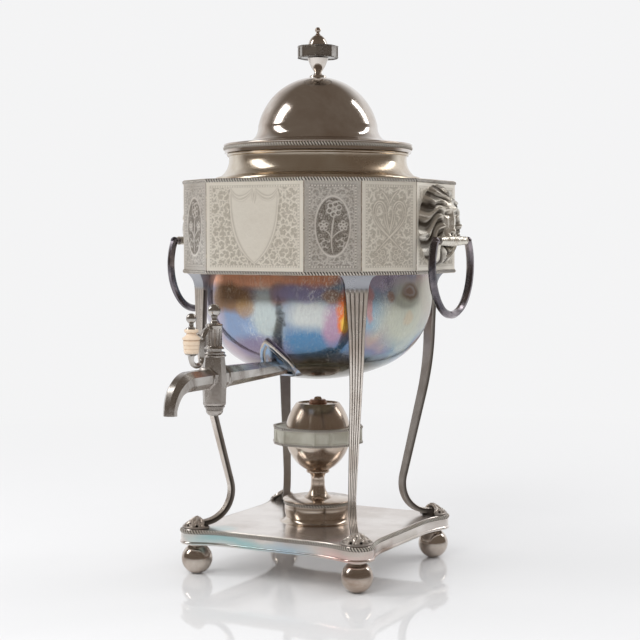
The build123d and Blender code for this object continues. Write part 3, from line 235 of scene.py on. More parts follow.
def turned(profile, at=(0.0, 0.0), around=None, ripple=None, loop=False):
    """A surface of revolution: every (radius, height) of the profile goes round a vertical axis.

    ripple(angle, height) scales the radius, for flutes. A loop profile is a ring with a hole."""
    steps = around or sizes().around
    angle = np.linspace(0, 2 * math.pi, steps, endpoint=False)[None]
    radius, height = profile[:, :1], profile[:, 1:]
    if ripple is not None:
        radius = radius * ripple(angle, height)
    x = at[0] + radius * np.cos(angle)
    y = at[1] + radius * np.sin(angle)
    return grid(np.stack(np.broadcast_arrays(x, y, height), axis=-1), close_rows=loop)


def carried(path, section, side, wear_and_shade=None, closed=False):
    """Carries a section along a path: point + x * side + y * (tangent x side). side may change along the path."""
    if closed:
        tangent = np.roll(path, -1, axis=0) - np.roll(path, 1, axis=0)
    else:
        tangent = np.gradient(path, axis=0)
    tangent /= np.linalg.norm(tangent, axis=1)[:, None]
    side = np.broadcast_to(side, path.shape)
    across = side - (side * tangent).sum(1)[:, None] * tangent
    across /= np.linalg.norm(across, axis=1)[:, None]
    up = np.cross(tangent, across)
    section = np.broadcast_to(section, (len(path),) + section.shape[-2:])
    points = path[:, None] + section[..., :1] * across[:, None] + section[..., 1:] * up[:, None]
    return grid(points, wear_and_shade=wear_and_shade, close_rows=closed, caps=not closed)


def ring_section(steps, start=0.0):
    """A unit circle as a section."""
    turn = np.linspace(0, 2 * math.pi, steps, endpoint=False) + start
    return np.stack([np.cos(turn), np.sin(turn)], axis=1)


def round_tube(path, radius, steps=16, side=UP, start=0.0):
    """A round or many-sided bar along a path; the radius may change along it."""
    radii = np.broadcast_to(radius, len(path))
    return carried(path, ring_section(steps, start)[None] * radii[:, None, None], side)


def rope(corners, height, radius, step_in, pitch=None):
    """A twisted rope round a closed outline.

    Its section radius is radius * (1 - 0.42 * (1 - |cos(angle + pi * length / pitch)|) ** 1.2), so that two strands
    wind round each other and a groove crosses the outside once in every pitch."""
    pitch = pitch or sizes().rope_pitch
    points, outwards = mitred(np.asarray(corners), pitch / 6)
    lengths = np.r_[0, np.cumsum(np.linalg.norm(np.diff(np.vstack([points, points[:1]]), axis=0), axis=1))]
    windings = round(lengths[-1] / pitch)
    along = lengths[:-1, None] / lengths[-1] * windings * math.pi
    turn = np.linspace(0, 2 * math.pi, 12, endpoint=False)[None]
    crest = np.abs(np.cos(turn + along))
    swell = radius * (1 - 0.42 * (1 - crest) ** 1.2)
    offset = -step_in + swell * np.cos(turn)
    x = points[:, :1] + outwards[:, :1] * offset
    y = points[:, 1:] + outwards[:, 1:] * offset
    wear_and_shade = np.clip(crest * 2.6 - 1.35, 0, 1)
    return grid(np.stack([x, y, height + swell * np.sin(turn)], axis=-1), wear_and_shade=wear_and_shade, close_rows=True)


def circle_corners(radius, steps=240):
    """A circle as a closed outline, counter-clockwise."""
    turn = np.linspace(0, 2 * math.pi, steps, endpoint=False)
    return radius * np.stack([np.cos(turn), np.sin(turn)], axis=1)


def twelve_sided(radius):
    """The corners of the twelve-sided plan, counter-clockwise."""
    return at_bearing(np.array(BEARINGS), radius)[:, :2]


# Pieces

# Every material by its short name, filled by make_finishes
FINISHES = {}


def make_piece(name, parts, finish, body, replaces=(), sharp=32.0):
    """Joins parts into one welded, closed mesh with smooth faces, gives it a finish and a body, and hides the solids
    that it replaces.
    """
    vertices, faces, wear_and_shade, offset = [], [], [], 0
    for points, quads, worn_and_shaded in parts:
        vertices.append(points)
        wear_and_shade.append(worn_and_shaded)
        faces.extend([[k + offset for k in face] for face in quads])
        offset += len(points)
    mesh = bpy.data.meshes.new(name)
    mesh.from_pydata(np.concatenate(vertices) * MM, [], faces)
    attribute = mesh.attributes.new("wear_and_shade", "FLOAT", "POINT")
    attribute.data.foreach_set("value", np.concatenate(wear_and_shade).astype(np.float32))
    shape = bmesh.new()
    shape.from_mesh(mesh)
    bmesh.ops.remove_doubles(shape, verts=shape.verts, dist=1e-7)
    bmesh.ops.dissolve_degenerate(shape, edges=shape.edges, dist=1e-8)
    bmesh.ops.recalc_face_normals(shape, faces=shape.faces)
    shape.to_mesh(mesh)
    shape.free()
    mesh.polygons.foreach_set("use_smooth", np.ones(len(mesh.polygons), bool))
    mesh.set_sharp_from_angle(angle=math.radians(sharp))
    piece = bpy.data.objects.new(name, mesh)
    bpy.context.scene.collection.objects.link(piece)
    mesh.materials.append(FINISHES[finish])
    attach(piece, body)
    if replaces:
        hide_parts(*replaces)
    return piece


def finish_node(node, finish):
    """Gives a solid of the frame a finish in place of its own."""
    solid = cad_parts[node]
    solid.data.materials.clear()
    solid.data.materials.append(FINISHES[finish])


# Finishes


class Wire:
    """One output socket of a finish. An operator on it adds a Math node."""

    def __init__(self, finish, socket):
        self.finish, self.socket = finish, socket

    def maths(self, operation, *others, clamp=False):
        return self.finish.node("ShaderNodeMath", {"operation": operation, "use_clamp": clamp}, [self, *others])

    def __add__(self, other):
        return self.maths("ADD", other)

    def __sub__(self, other):
        return self.maths("SUBTRACT", other)

    def __mul__(self, other):
        return self.maths("MULTIPLY", other)

    def __rsub__(self, other):
        return self.finish.node("ShaderNodeMath", {"operation": "SUBTRACT"}, [other, self])

    def __pow__(self, other):
        return self.maths("POWER", other)

    __radd__ = __add__
    __rmul__ = __mul__

    def clamped(self):
        return self.maths("ADD", 0.0, clamp=True)

    def between(self, low, high):
        """0 below low, 1 above high, and an even slope between them."""
        return ((self - low) * (1 / (high - low))).clamped()


class Finish:
    """A material and the nodes that are added to it."""

    def __init__(self, name):
        self.material = bpy.data.materials.new(name)
        self.material.use_nodes = True
        self.tree = self.material.node_tree
        self.shader = self.tree.nodes["Principled BSDF"]
        self.position = self.node("ShaderNodeTexCoord", output="Object")

    def node(self, kind, settings=None, inputs=(), output=0, stops=None):
        """Adds a node: its settings first, then its ramp's stops, then values or wires by place or name."""
        made = self.tree.nodes.new(kind)
        for key, value in (settings or {}).items():
            setattr(made, key, value)
        if stops:
            while len(made.color_ramp.elements) < len(stops):
                made.color_ramp.elements.new(0.5)
            for element, (place, colour) in zip(made.color_ramp.elements, stops):
                element.position = place
                element.color = (*colour, 1.0)
        pairs = inputs.items() if isinstance(inputs, dict) else enumerate(inputs)
        for key, value in pairs:
            self.plug(made.inputs[key], value)
        return Wire(self, made.outputs[output])

    def vectors(self, operation, *inputs, output="Vector"):
        return self.node("ShaderNodeVectorMath", {"operation": operation}, inputs, output)

    def plug(self, socket, value):
        """Links a wire to a socket, or sets the socket's value."""
        if isinstance(value, Wire):
            self.tree.links.new(value.socket, socket)
        elif socket.type == "RGBA" and len(value) == 3:
            socket.default_value = (*value, 1.0)
        else:
            socket.default_value = value

    def centred(self, scale, amount):
        """The place on the object, pushed about by cloudy noise by up to an amount in metres."""
        words = {"Scale": scale, "Detail": 3.0, "Vector": self.position}
        drift = self.vectors("SUBTRACT", self.node("ShaderNodeTexNoise", inputs=words, output="Color"), (0.5,) * 3)
        return self.vectors("MULTIPLY_ADD", drift, (amount,) * 3, self.position)

    def set(self, **values):
        """Sets or links inputs of the surface shader, with _ for a space in their names."""
        for key, value in values.items():
            self.plug(self.shader.inputs[key.replace("_", " ")], value)

    def noise(self, scale, detail=3.0, roughness=0.55, vector=None, distortion=0.0):
        words = {"Scale": scale, "Detail": detail, "Roughness": roughness, "Distortion": distortion}
        return self.node("ShaderNodeTexNoise", inputs={**words, "Vector": vector or self.position})

    def stretched(self, x, y, z):
        """The place on the object with each axis stretched, for grain that runs one way."""
        return self.vectors("MULTIPLY", self.position, (x, y, z))

    def mix(self, factor, low, high):
        words = {0: factor, 6: low, 7: high}
        return self.node("ShaderNodeMix", {"data_type": "RGBA"}, words, output=2)

    def multiply(self, colour, other):
        words = {0: 1.0, 6: colour, 7: other}
        return self.node("ShaderNodeMix", {"data_type": "RGBA", "blend_type": "MULTIPLY"}, words, output=2)

    def attribute(self, name):
        return self.node("ShaderNodeAttribute", {"attribute_name": name}, output="Fac")

    def axis(self, letter):
        return self.node("ShaderNodeSeparateXYZ", inputs=[self.position], output=letter)

    def near(self, place, reach, vector, edge=0.5):
        """1 round a place in millimetres, falling to 0 at reach (level, upright) over a share, edge, of the way."""
        spot = tuple(float(v) * MM for v in place)
        level, upright = reach
        scale = (1000 / level, 1000 / level, 1000 / upright)
        gap = self.vectors("MULTIPLY", self.vectors("SUBTRACT", vector, spot), scale)
        gap = self.vectors("LENGTH", gap, output="Value")
        return ((1 - gap) * (1 / edge)).clamped()

    def bump(self, height, distance):
        words = {"Strength": 1.0, "Distance": distance * MM, "Height": height}
        return self.node("ShaderNodeBump", inputs=words)


def tarnished(
    name, clean, dull, patch=0.5, rough=0.16, scale=26.0, worn_and_shaded=False, groove=None, grain=0.02, metal=1.0, top=None
):
    """Silver plate: clean and dull areas by cloudy noise, fine specks, rubbed scratches and dark grooves of tarnish,
    which on the paws also paint shade near the plate.

    top gives a level and the colour that the plate takes above it."""
    finish = Finish(name)
    clouds = finish.noise(scale, detail=6.0, roughness=0.62, distortion=0.6)
    specks = finish.noise(900.0, detail=2.0)
    scratches = finish.noise(240.0, detail=4.0, vector=finish.stretched(1.0, 1.0, 7.0))
    dulled = (clouds.between(0.62 - patch * 0.4, 0.86 - patch * 0.3) + (specks.between(0.6, 0.78)) * 0.22).clamped()
    colour = finish.mix(dulled, clean, dull)
    roughness = dulled * 0.16 + scratches * 0.07 + rough
    if top:
        colour = finish.mix(finish.axis("Z").between(top[0] * MM, (top[0] + 3.0) * MM), colour, top[1])
    # The groove colour, laid by the mesh attribute: tarnish in hollows, and on the paws also painted shade.
    if worn_and_shaded:
        wear_and_shade = finish.attribute("wear_and_shade")
        colour = finish.mix((1 - wear_and_shade).clamped() ** 0.8, colour, groove or tuple(colours().groove))
        roughness = roughness + (1 - wear_and_shade) * 0.25
    height = scratches * 0.6 + specks * 0.4
    finish.set(Base_Color=colour, Metallic=metal, Roughness=roughness, Normal=finish.bump(height, grain))
    return finish.material


def iridescent(name):
    """The bowl's film of tarnish: blues, lilac, coral and grey-green in clouds, with spots, wipes, a ring mark and a
    painted reflection of the base plate at its foot.
    """
    finish = Finish(name)
    moved = finish.centred(30.0, 0.016)
    film = finish.noise(16.0, detail=3.0, vector=moved, distortion=0.8)
    stops = [
        (0.34, (0.48, 0.46, 0.38)),
        (0.42, (0.50, 0.38, 0.36)),
        (0.50, (0.27, 0.28, 0.42)),
        (0.58, (0.24, 0.36, 0.46)),
        (0.66, (0.46, 0.53, 0.52)),
    ]
    colour = finish.node("ShaderNodeValToRGB", inputs=[film], stops=stops)
    still = finish.centred(70.0, 0.009)
    for spots, vector, edge in ((FILM_SPOTS, moved, 0.5), (MARKS_AND_PAINTED_REFLECTION, still, 0.4)):
        for bearing, height, level, upright, tint, strength in spots:
            place = at_bearing(bearing, np.interp(height, *BOWL_WIDTHS), height)
            colour = finish.mix(finish.near(place, (level, upright), vector, edge) * strength, colour, tint)
    smudges = finish.noise(60.0, detail=5.0, roughness=0.65).between(0.60, 0.78)
    colour = finish.mix(smudges * 0.3, colour, (0.30, 0.22, 0.17))
    words = {"Scale": 420.0, "Detail": 4.0, "Distortion": 2.4, "Vector": finish.stretched(1.0, 1.0, 0.45)}
    swirl = finish.node("ShaderNodeTexNoise", inputs=words)
    wipes = swirl.between(0.52, 0.66) * finish.noise(24.0, detail=2.0, vector=moved).between(0.42, 0.62)
    colour = finish.mix(wipes * 0.55, colour, (0.72, 0.74, 0.68))
    streaks = finish.noise(700.0, detail=3.0, vector=finish.stretched(1.0, 1.0, 0.2)).between(0.45, 0.75)
    colour = finish.mix(streaks * 0.22, colour, (0.25, 0.22, 0.24))
    frosted = finish.near(at_bearing(84.0, 84.0, 192.0), (62.0, 50.0), moved, 0.5)
    finish.set(Base_Color=colour, Metallic=0.85, Roughness=wipes * 0.14 + smudges * 0.08 + frosted * 0.2 + 0.11)
    finish.set(Normal=finish.bump(wipes, 0.008))
    return finish.material


# The bowl's outer radius at some heights
BOWL_WIDTHS = ((145.0, 155.0, 165.0, 175.0, 185.0, 195.0, 205.0), (45.0, 61.0, 70.5, 77.0, 81.5, 84.0, 84.8))
# Patches of the film: bearing, height, reach along and up, colour and strength
FILM_SPOTS = (
    (-10.0, 216.0, 62.0, 9.5, (1.0, 0.52, 0.34), 1.0),
    (28.0, 216.0, 26.0, 8.0, (0.90, 0.42, 0.26), 0.9),
    (-15.0, 184.0, 34.0, 20.0, (0.24, 0.34, 0.52), 0.95),
    (-45.0, 190.0, 30.0, 24.0, (0.52, 0.46, 0.56), 0.85),
    (-42.0, 160.0, 40.0, 14.0, (0.46, 0.36, 0.42), 0.8),
    (2.0, 190.0, 15.0, 26.0, (0.54, 0.61, 0.60), 0.95),
    (10.0, 206.0, 10.0, 10.0, (0.34, 0.20, 0.15), 0.8),
    (24.0, 190.0, 22.0, 18.0, (0.60, 0.62, 0.60), 0.95),
    (21.0, 207.0, 26.0, 8.0, (0.33, 0.30, 0.50), 0.9),
    (25.0, 170.0, 40.0, 17.0, (0.10, 0.24, 0.42), 1.0),
    (-8.0, 165.0, 30.0, 14.0, (0.24, 0.20, 0.32), 0.85),
    (36.0, 184.0, 11.0, 20.0, (0.50, 0.30, 0.42), 0.85),
    (55.0, 193.0, 16.0, 20.0, (0.28, 0.42, 0.54), 0.95),
    (62.0, 214.0, 40.0, 7.0, (0.46, 0.40, 0.54), 0.9),
    (76.0, 190.0, 34.0, 30.0, (0.56, 0.58, 0.48), 0.95),
    (104.0, 196.0, 34.0, 30.0, (0.56, 0.54, 0.46), 0.8),
)
# Marks with a sharper edge: a painted reflection of the base plate at the bowl's foot, rubbed brown, the flare by the
# front leg and a ring
MARKS_AND_PAINTED_REFLECTION = (
    # Painted reflection: dark olive at the bowl's foot, facing the camera, for the base plate mirrored in the bowl.
    (28.0, 145.0, 72.0, 23.0, (0.11, 0.095, 0.06), 1.0),
    (-20.0, 203.5, 29.0, 12.5, (0.26, 0.15, 0.075), 0.95),
    (-9.0, 196.0, 10.0, 9.0, (0.40, 0.25, 0.12), 0.75),
    (35.0, 205.0, 9.0, 6.0, (0.42, 0.25, 0.15), 0.8),
    (40.5, 190.0, 6.5, 24.0, (0.85, 0.22, 0.05), 0.95),
    (41.5, 187.0, 4.2, 19.0, (1.0, 0.62, 0.10), 0.95),
    (53.5, 198.0, 3.6, 18.0, (0.62, 0.26, 0.22), 0.7),
    (65.0, 204.0, 4.4, 4.6, (0.40, 0.25, 0.19), 0.85),
    (78.6, 206.8, 12.0, 8.2, (0.22, 0.15, 0.11), 0.95),
    (78.0, 207.4, 8.0, 5.2, (0.46, 0.42, 0.40), 0.9),
    (77.6, 207.0, 6.2, 3.8, (0.26, 0.17, 0.13), 0.9),
    (79.0, 189.0, 7.0, 6.5, (0.62, 0.48, 0.32), 0.5),
)


def engraved(name, clean, dull, ground, cut):
    """Engraved plate: the wear attribute holds the cuts and the ground attribute the dark fields between leaves."""
    finish = Finish(name)
    wear_and_shade, field = finish.attribute("wear_and_shade"), finish.attribute("ground")
    clouds = finish.noise(26.0, detail=5.0, roughness=0.6)
    specks = finish.noise(1100.0, detail=2.0)
    colour = finish.mix(clouds.between(0.42, 0.72), clean, dull)
    # On the flower panels the dark oval ground is a painted reflection of the dark room in front of the urn; elsewhere
    # the ground is the engraving's matted field.
    colour = finish.mix((field * (specks.between(0.35, 0.65) * 0.4 + 0.6)).clamped(), colour, ground)
    colour = finish.mix((1 - wear_and_shade).clamped(), colour, cut)
    height = specks * field * 1.2 + clouds * 0.3
    roughness = clouds * 0.14 + field * 0.12 + 0.27
    finish.set(Base_Color=colour, Metallic=0.5, Roughness=roughness, Normal=finish.bump(height, 0.05))
    return finish.material


def base_finish(name):
    """The base's plate: brown silver on top, and on its side patches of blue, green, pink and dark copper."""
    finish = Finish(name)
    moved = finish.centred(24.0, 0.03)
    clouds = finish.noise(18.0, detail=6.0, vector=moved)
    colour = finish.mix(clouds.between(0.40, 0.66), (0.80, 0.75, 0.71), (0.60, 0.53, 0.48))
    for bearing, reach, tint, strength in BASE_SPOTS:
        place = at_bearing(bearing, 88.0, PLATE_TOP - 8.6)
        colour = finish.mix(finish.near(place, (reach, 7.6), moved, 0.6) * strength, colour, tint)
    scratches = finish.noise(300.0, detail=4.0, vector=finish.stretched(1.0, 3.0, 1.0))
    roughness = scratches * 0.12 + clouds * 0.10 + 0.10
    finish.set(Base_Color=colour, Metallic=0.9, Roughness=roughness, Normal=finish.bump(scratches, 0.01))
    return finish.material


# Patches on the base's side: bearing, reach, colour and strength
BASE_SPOTS = (
    (-22.0, 40.0, (0.40, 0.60, 0.61), 0.95),
    (10.0, 34.0, (0.42, 0.55, 0.64), 0.9),
    (42.0, 24.0, (0.76, 0.54, 0.50), 0.9),
    (66.0, 24.0, (0.24, 0.17, 0.13), 0.9),
    (98.0, 40.0, (0.54, 0.50, 0.44), 0.7),
)


def ivory_finish(name):
    """Turned ivory: cream with brown lines in the lathe rings and a polished coat."""
    finish = Finish(name)
    grain = finish.noise(350.0, detail=4.0, vector=finish.stretched(1.0, 1.0, 0.35))
    cracks = finish.noise(900.0, detail=2.0, vector=finish.stretched(1.0, 1.0, 0.08)).between(0.62, 0.72)
    wear_and_shade = finish.attribute("wear_and_shade")
    colour = finish.mix(grain, tuple(colours().ivory), (0.88, 0.74, 0.58))
    colour = finish.mix(((1 - wear_and_shade) + cracks * 0.35).clamped(), colour, (0.50, 0.31, 0.18))
    finish.set(Base_Color=colour, Roughness=grain * 0.15 + 0.28, Coat_Weight=0.3, Normal=finish.bump(grain, 0.04))
    return finish.material


def cotton_finish(name):
    """A braided wick, tan mottled with scorched brown."""
    finish = Finish(name)
    words = {"Vector": finish.position, "Scale": 380.0, "Distortion": 1.5}
    braid = finish.node("ShaderNodeTexWave", {"bands_direction": "DIAGONAL"}, words)
    colour = finish.mix(finish.noise(500.0), (0.55, 0.38, 0.24), (0.30, 0.17, 0.10))
    finish.set(Base_Color=finish.multiply(colour, finish.mix(braid, (0.6,) * 3, (1.0,) * 3)), Roughness=0.9)
    finish.set(Normal=finish.bump(braid, 0.3))
    return finish.material


# Plated finishes: the material's name, its clean and its dull colour, and what differs from the usual plate
PLATED = {
    "lid": ("lid_silver", (0.70, 0.65, 0.60), (0.46, 0.37, 0.30), dict(rough=0.06, scale=17.0, grain=0.006)),
    "neck": (
        "neck_silver", (0.74, 0.68, 0.58), (0.54, 0.43, 0.32),
        dict(patch=0.6, rough=0.10, scale=20.0, grain=0.01),
    ),
    "rope": (
        "rope_silver", (0.88, 0.83, 0.76), (0.70, 0.62, 0.52),
        dict(rough=0.24, worn_and_shaded=True, groove=(0.035, 0.026, 0.02), metal=0.6),
    ),
    "shoulder": ("shoulder_silver", (0.68, 0.60, 0.50), (0.45, 0.36, 0.27), dict(rough=0.2)),
    # The leg finish also covers the paws, where the groove colour paints shade near the plate.
    "leg": (
        "leg_silver", (0.80, 0.74, 0.68), (0.54, 0.46, 0.39),
        dict(rough=0.2, worn_and_shaded=True, metal=0.8, top=(BELT_BOTTOM - 12.5, (0.36, 0.37, 0.40))),
    ),
    "rim": ("rim_silver", (0.78, 0.72, 0.66), (0.60, 0.52, 0.44), dict(rough=0.22, metal=0.75)),
    "plate": ("tap_plate_silver", (0.34, 0.46, 0.62), (0.40, 0.25, 0.16), dict(patch=0.45, rough=0.14, scale=60.0)),
    "ball": (
        "ball_silver", (0.66, 0.60, 0.54), (0.40, 0.31, 0.25),
        dict(patch=0.6, rough=0.07, scale=34.0, grain=0.006),
    ),
    "lamp": (
        "lamp_silver", (0.66, 0.58, 0.50), (0.46, 0.35, 0.27),
        dict(patch=0.6, rough=0.1, scale=32.0, grain=0.008),
    ),
    "tap": ("tap_silver", (0.54, 0.52, 0.49), (0.27, 0.24, 0.22), dict(patch=0.6, rough=0.14, scale=44.0, worn_and_shaded=True)),
    "plain_tap": ("plain_tap_silver", (0.62, 0.60, 0.57), (0.34, 0.30, 0.27), dict(patch=0.6, rough=0.14, scale=44.0)),
    "lion": (
        "lion_silver", (0.80, 0.76, 0.68), (0.56, 0.49, 0.40),
        dict(patch=0.35, rough=0.2, worn_and_shaded=True, groove=(0.075, 0.06, 0.045), metal=0.85),
    ),
    "ring": ("ring_silver", (0.40, 0.35, 0.37), (0.09, 0.085, 0.10), dict(patch=0.85, rough=0.1, scale=34.0)),
    "copper": ("copper_brown", (0.60, 0.36, 0.26), (0.30, 0.17, 0.11), dict(patch=0.6, rough=0.25, scale=70.0)),
    # The spout's mouth: near black, painted shade for the inside of the open bore.
    "mouth": ("mouth_painted_shade", (0.05, 0.04, 0.035), (0.03, 0.025, 0.02), dict(rough=0.5)),
    "band": ("band_silver", (0.64, 0.63, 0.55), (0.44, 0.41, 0.33), dict(rough=0.3, scale=60.0, grain=0.08, metal=0.7)),
}


def make_finishes():
    """Every finish of the urn, by its short name."""
    for key, (name, clean, dull, words) in PLATED.items():
        FINISHES[key] = tarnished(name, clean, dull, **words)
    FINISHES.update(
        bowl=iridescent("bowl_film"),
        belt=engraved("belt_silver", (0.88, 0.83, 0.73), (0.78, 0.72, 0.62), (0.36, 0.315, 0.25), (0.30, 0.25, 0.19)),
        # Flower panels: darker plate and a near-black ground, partly a painted reflection of the dark room in the
        # polished oval.
        flower_belt=engraved(
            "flower_belt_silver_and_painted_reflection", (0.76, 0.72, 0.66), (0.56, 0.50, 0.43), (0.13, 0.105, 0.08), (0.18, 0.14, 0.11)
        ),
        base=base_finish("base_silver"),
        ivory=ivory_finish("ivory"),
        cotton=cotton_finish("wick_cotton"),
    )


# Base and feet

BASE_DEPTH = 11.0
BASE_CORNER_RADIUS = 11.6
BASE_SIDE_INSET = 6.6
BASE_SIDE_CURVE = 70.0
BORDER_HEIGHT = 3.0
ROPE_RADIUS = 1.5
# Radii of the flat under a ball foot and of its neck
BALL_FLAT = 2.5
BALL_NECK = 5.0
DRUM_RADIUS = 24.8
DRUM_WAIST = 0.8
DRUM_HOLE = 18.35


def base_corners(grow=0.0):
    """The base's plan: on each side a straight stretch, a hollow arc on either hand and a lobe round each foot."""
    half = FOOT_AT
    side = half + BASE_CORNER_RADIUS - BASE_SIDE_INSET
    across = side + BASE_SIDE_CURVE - half
    run = math.sqrt((BASE_SIDE_CURVE + BASE_CORNER_RADIUS) ** 2 - across**2)
    hollow = np.array([side + BASE_SIDE_CURVE, half - run])
    towards = (hollow - half) / np.linalg.norm(hollow - half)
    meeting_turn = math.degrees(math.atan2(towards[1], towards[0]))
    inwards = round_arc(hollow, BASE_SIDE_CURVE - grow, 180, 180 + meeting_turn, 14)
    lobe = round_arc((half, half), BASE_CORNER_RADIUS + grow, meeting_turn, 90 - meeting_turn, 28)
    quarter = line(inwards, lobe, inwards[::-1, ::-1])
    corners = []
    for turn in np.radians([0, 90, 180, 270]):
        spin = np.array([[math.cos(turn), math.sin(turn)], [-math.sin(turn), math.cos(turn)]])
        corners.append(quarter @ spin)
    return np.concatenate(corners)


def plate_shell():
    """The base as a closed shell: its outline carried through (offset, height) steps, with a face over each side."""
    bottom, top = PLATE_TOP - BASE_DEPTH, PLATE_TOP
    steps = line(
        (-1.6, top - 1.6), (-1.6, bottom), (0.1, bottom),
        arc((0.1, bottom), (0.75, bottom + 1.0), (0.1, bottom + 2.2), 6), (-0.1, bottom + 2.4), (0.0, bottom + 2.9),
        (0.0, top - BORDER_HEIGHT), (-0.9, top - 2.9), (-0.9, top - 0.4), (-1.2, top),
    )
    loops = [np.column_stack([base_corners(grow), np.full(len(base_corners()), height)]) for grow, height in steps]
    return grid(np.array(loops), caps=True)


def make_ball(corner, at):
    """A ball foot, flat where it stands, with a collar at its top."""
    radius, top = (FOOT_HIGH[0] - FOOT_LOW[0]) / 2, FOOT_HIGH[2]
    middle = math.sqrt(radius**2 - BALL_FLAT**2)
    low = math.degrees(math.asin(-middle / radius))
    high = math.degrees(math.acos(BALL_NECK / radius))
    ball = line((0, 0), round_arc((0, middle), radius, low, high, 40), (BALL_NECK, top), (0, top))
    bulge = arc((5.2, top - 1.2), (6.1, top + 0.1), (5.2, top + 1.35), 8)
    collar = line((0, top - 1.2), (5.2, top - 1.2), bulge, (0, top + 1.35))
    parts = [turned(ball, at, around=96), turned(collar, at, around=64)]
    make_piece(f"ball_{corner}", parts, "ball", "urn", [f"ball_foot_{corner}"])


def make_drum():
    """The lamp's seat on the base: a waisted ring, open below, with a rope at its top."""
    low, high = span("lamp_drum")
    radius, foot, bottom, top = DRUM_RADIUS, high[0], low[2], high[2]
    neck = top - BORDER_HEIGHT
    waist = (radius - DRUM_WAIST, bottom + foot - radius + 0.8 - DRUM_WAIST)
    drum = line(
        (DRUM_HOLE, top - 0.05), (radius - 0.6, top - 0.05), (radius, top - 0.6), (radius, neck),
        arc((radius, neck), (radius + 0.2, (top + bottom) / 2 + 1.0), waist, 10),
        arc(waist, (radius + 0.5, bottom + 1.2), (foot, bottom + 0.02), 8),
        (21.7, bottom), (21.7, top - 1.5), (DRUM_HOLE, top - 1.5),
    )
    make_piece("drum", [turned(drum, loop=True)], "lamp", "urn", ["lamp_drum"])
    drum_rope = rope(circle_corners(radius, 96), top - BORDER_HEIGHT / 2, 1.45, 0.45)
    make_piece("drum_rope", [drum_rope], "rope", "urn", ["lamp_drum_border"])


def make_stand():
    plate = [plate_shell()]
    foot, head = FOOT_HIGH[2] - 0.2, PLATE_TOP - 1.4
    boss = line((0, foot), (4.6, foot), (4.6, head), (0, head))
    for _, bearing, _ in FEET:
        plate.append(turned(boss, at_bearing(bearing, FOOT_CIRCLE), around=48))
    make_piece("base", plate, "base", "urn", ["base_plate"])
    border = rope(base_corners(), PLATE_TOP - BORDER_HEIGHT / 2 - 0.05, ROPE_RADIUS, 0.6)
    make_piece("base_rope", [border], "rope", "urn", ["base_border"])
    for corner, bearing, _ in FEET:
        make_ball(corner, at_bearing(bearing, FOOT_CIRCLE))
    make_drum()
    finish_node("foot_studs", "plain_tap")


# Legs and paws

LEG_THICKNESS = 3.5
# The leg's line: how far its straight top reaches down, how far the ankle lies behind the foot, and its two bends
KNEE_DROP = 67.5
ANKLE_BACK = 34.8
KNEE_CURVE = 200.0
ANKLE_CURVE = 23.0
CAPITAL_DEPTH = 11.5
CAPITAL_FLARE = 5.2
# Half of the leg's width at some depths under the belt
LEG_TAPER = ((CAPITAL_DEPTH, 41.5, 85.0, 157.0, 190.0), (8.0, 5.65, 4.2, 2.8, 2.8))
PAW_RADIUS = 10.6
PAW_STRANDS = 9


def leg_widths(height):
    """Half of a leg's width at a height: flared at the capital, then a taper that eases off towards the ankle."""
    drop = BELT_BOTTOM - height
    flare = np.clip(1 - drop / CAPITAL_DEPTH, 0, 1)
    return np.interp(drop, *LEG_TAPER) + CAPITAL_FLARE * (1 - np.sqrt(np.clip(1 - flare**2, 0, 1)))


def leg_grid(heading, aside):
    """A reeded bar along the leg's line: each reed rises by depth * sqrt(1 - place ** 2) over the bar's outer face."""
    top_reach = math.sqrt((BOWL_RADIUS + 2.0 + LEG_THICKNESS / 2) ** 2 - FOOT_ASIDE**2)
    level = PLATE_TOP + LEG_THICKNESS / 2 + 1.15
    knee, ankle, toe = (top_reach, BELT_BOTTOM - KNEE_DROP), (FOOT_REACH - ANKLE_BACK, level), (FOOT_REACH - 2.1, level)
    flat = spaced(filleted([(top_reach, BELT_BOTTOM), knee, ankle, toe], [KNEE_CURVE, ANKLE_CURVE], 30), 1.25)
    half = leg_widths(flat[:, 1])[:, None]
    reeds = sizes().reeds
    across = np.linspace(-1, 1, reeds * 8 + 1)[None]
    place = (across + 1) / 2 * reeds
    bead = np.sqrt(np.clip(1 - (2 * (place - np.floor(np.minimum(place, reeds - 1e-6))) - 1) ** 2, 0, 1))
    rise = np.clip((BELT_BOTTOM - CAPITAL_DEPTH + 1.2 * bead - flat[:, 1:]) / 1.2, 0, 1)
    flare = np.clip(1 - (BELT_BOTTOM - flat[:, 1:]) / CAPITAL_DEPTH, 0, 1)
    outwards = LEG_THICKNESS / 2 - 0.5 + sizes().reed_depth * bead * rise + 4.4 * flare**2.4 + (1 - rise) * 0.55
    outer = np.stack([half * across, outwards], axis=-1)
    back = half * across[:, ::-4] * 0.98
    inner = np.stack([back, np.full(back.shape, -LEG_THICKNESS / 2)], axis=-1)
    section = np.concatenate([outer, inner], axis=1)
    rubbed = np.where(rise > 0.5, np.clip(bead * 1.5 - 0.2, 0, 1), 1.0)
    wear_and_shade = np.concatenate([rubbed, np.full(back.shape, 0.6)], axis=1)
    forward, sideways = at_bearing(heading, 1.0), at_bearing(heading + 90, 1.0)
    path = forward * flat[:, :1] + sideways * aside + UP * flat[:, 1:]
    return carried(path, section, sideways, wear_and_shade=wear_and_shade)


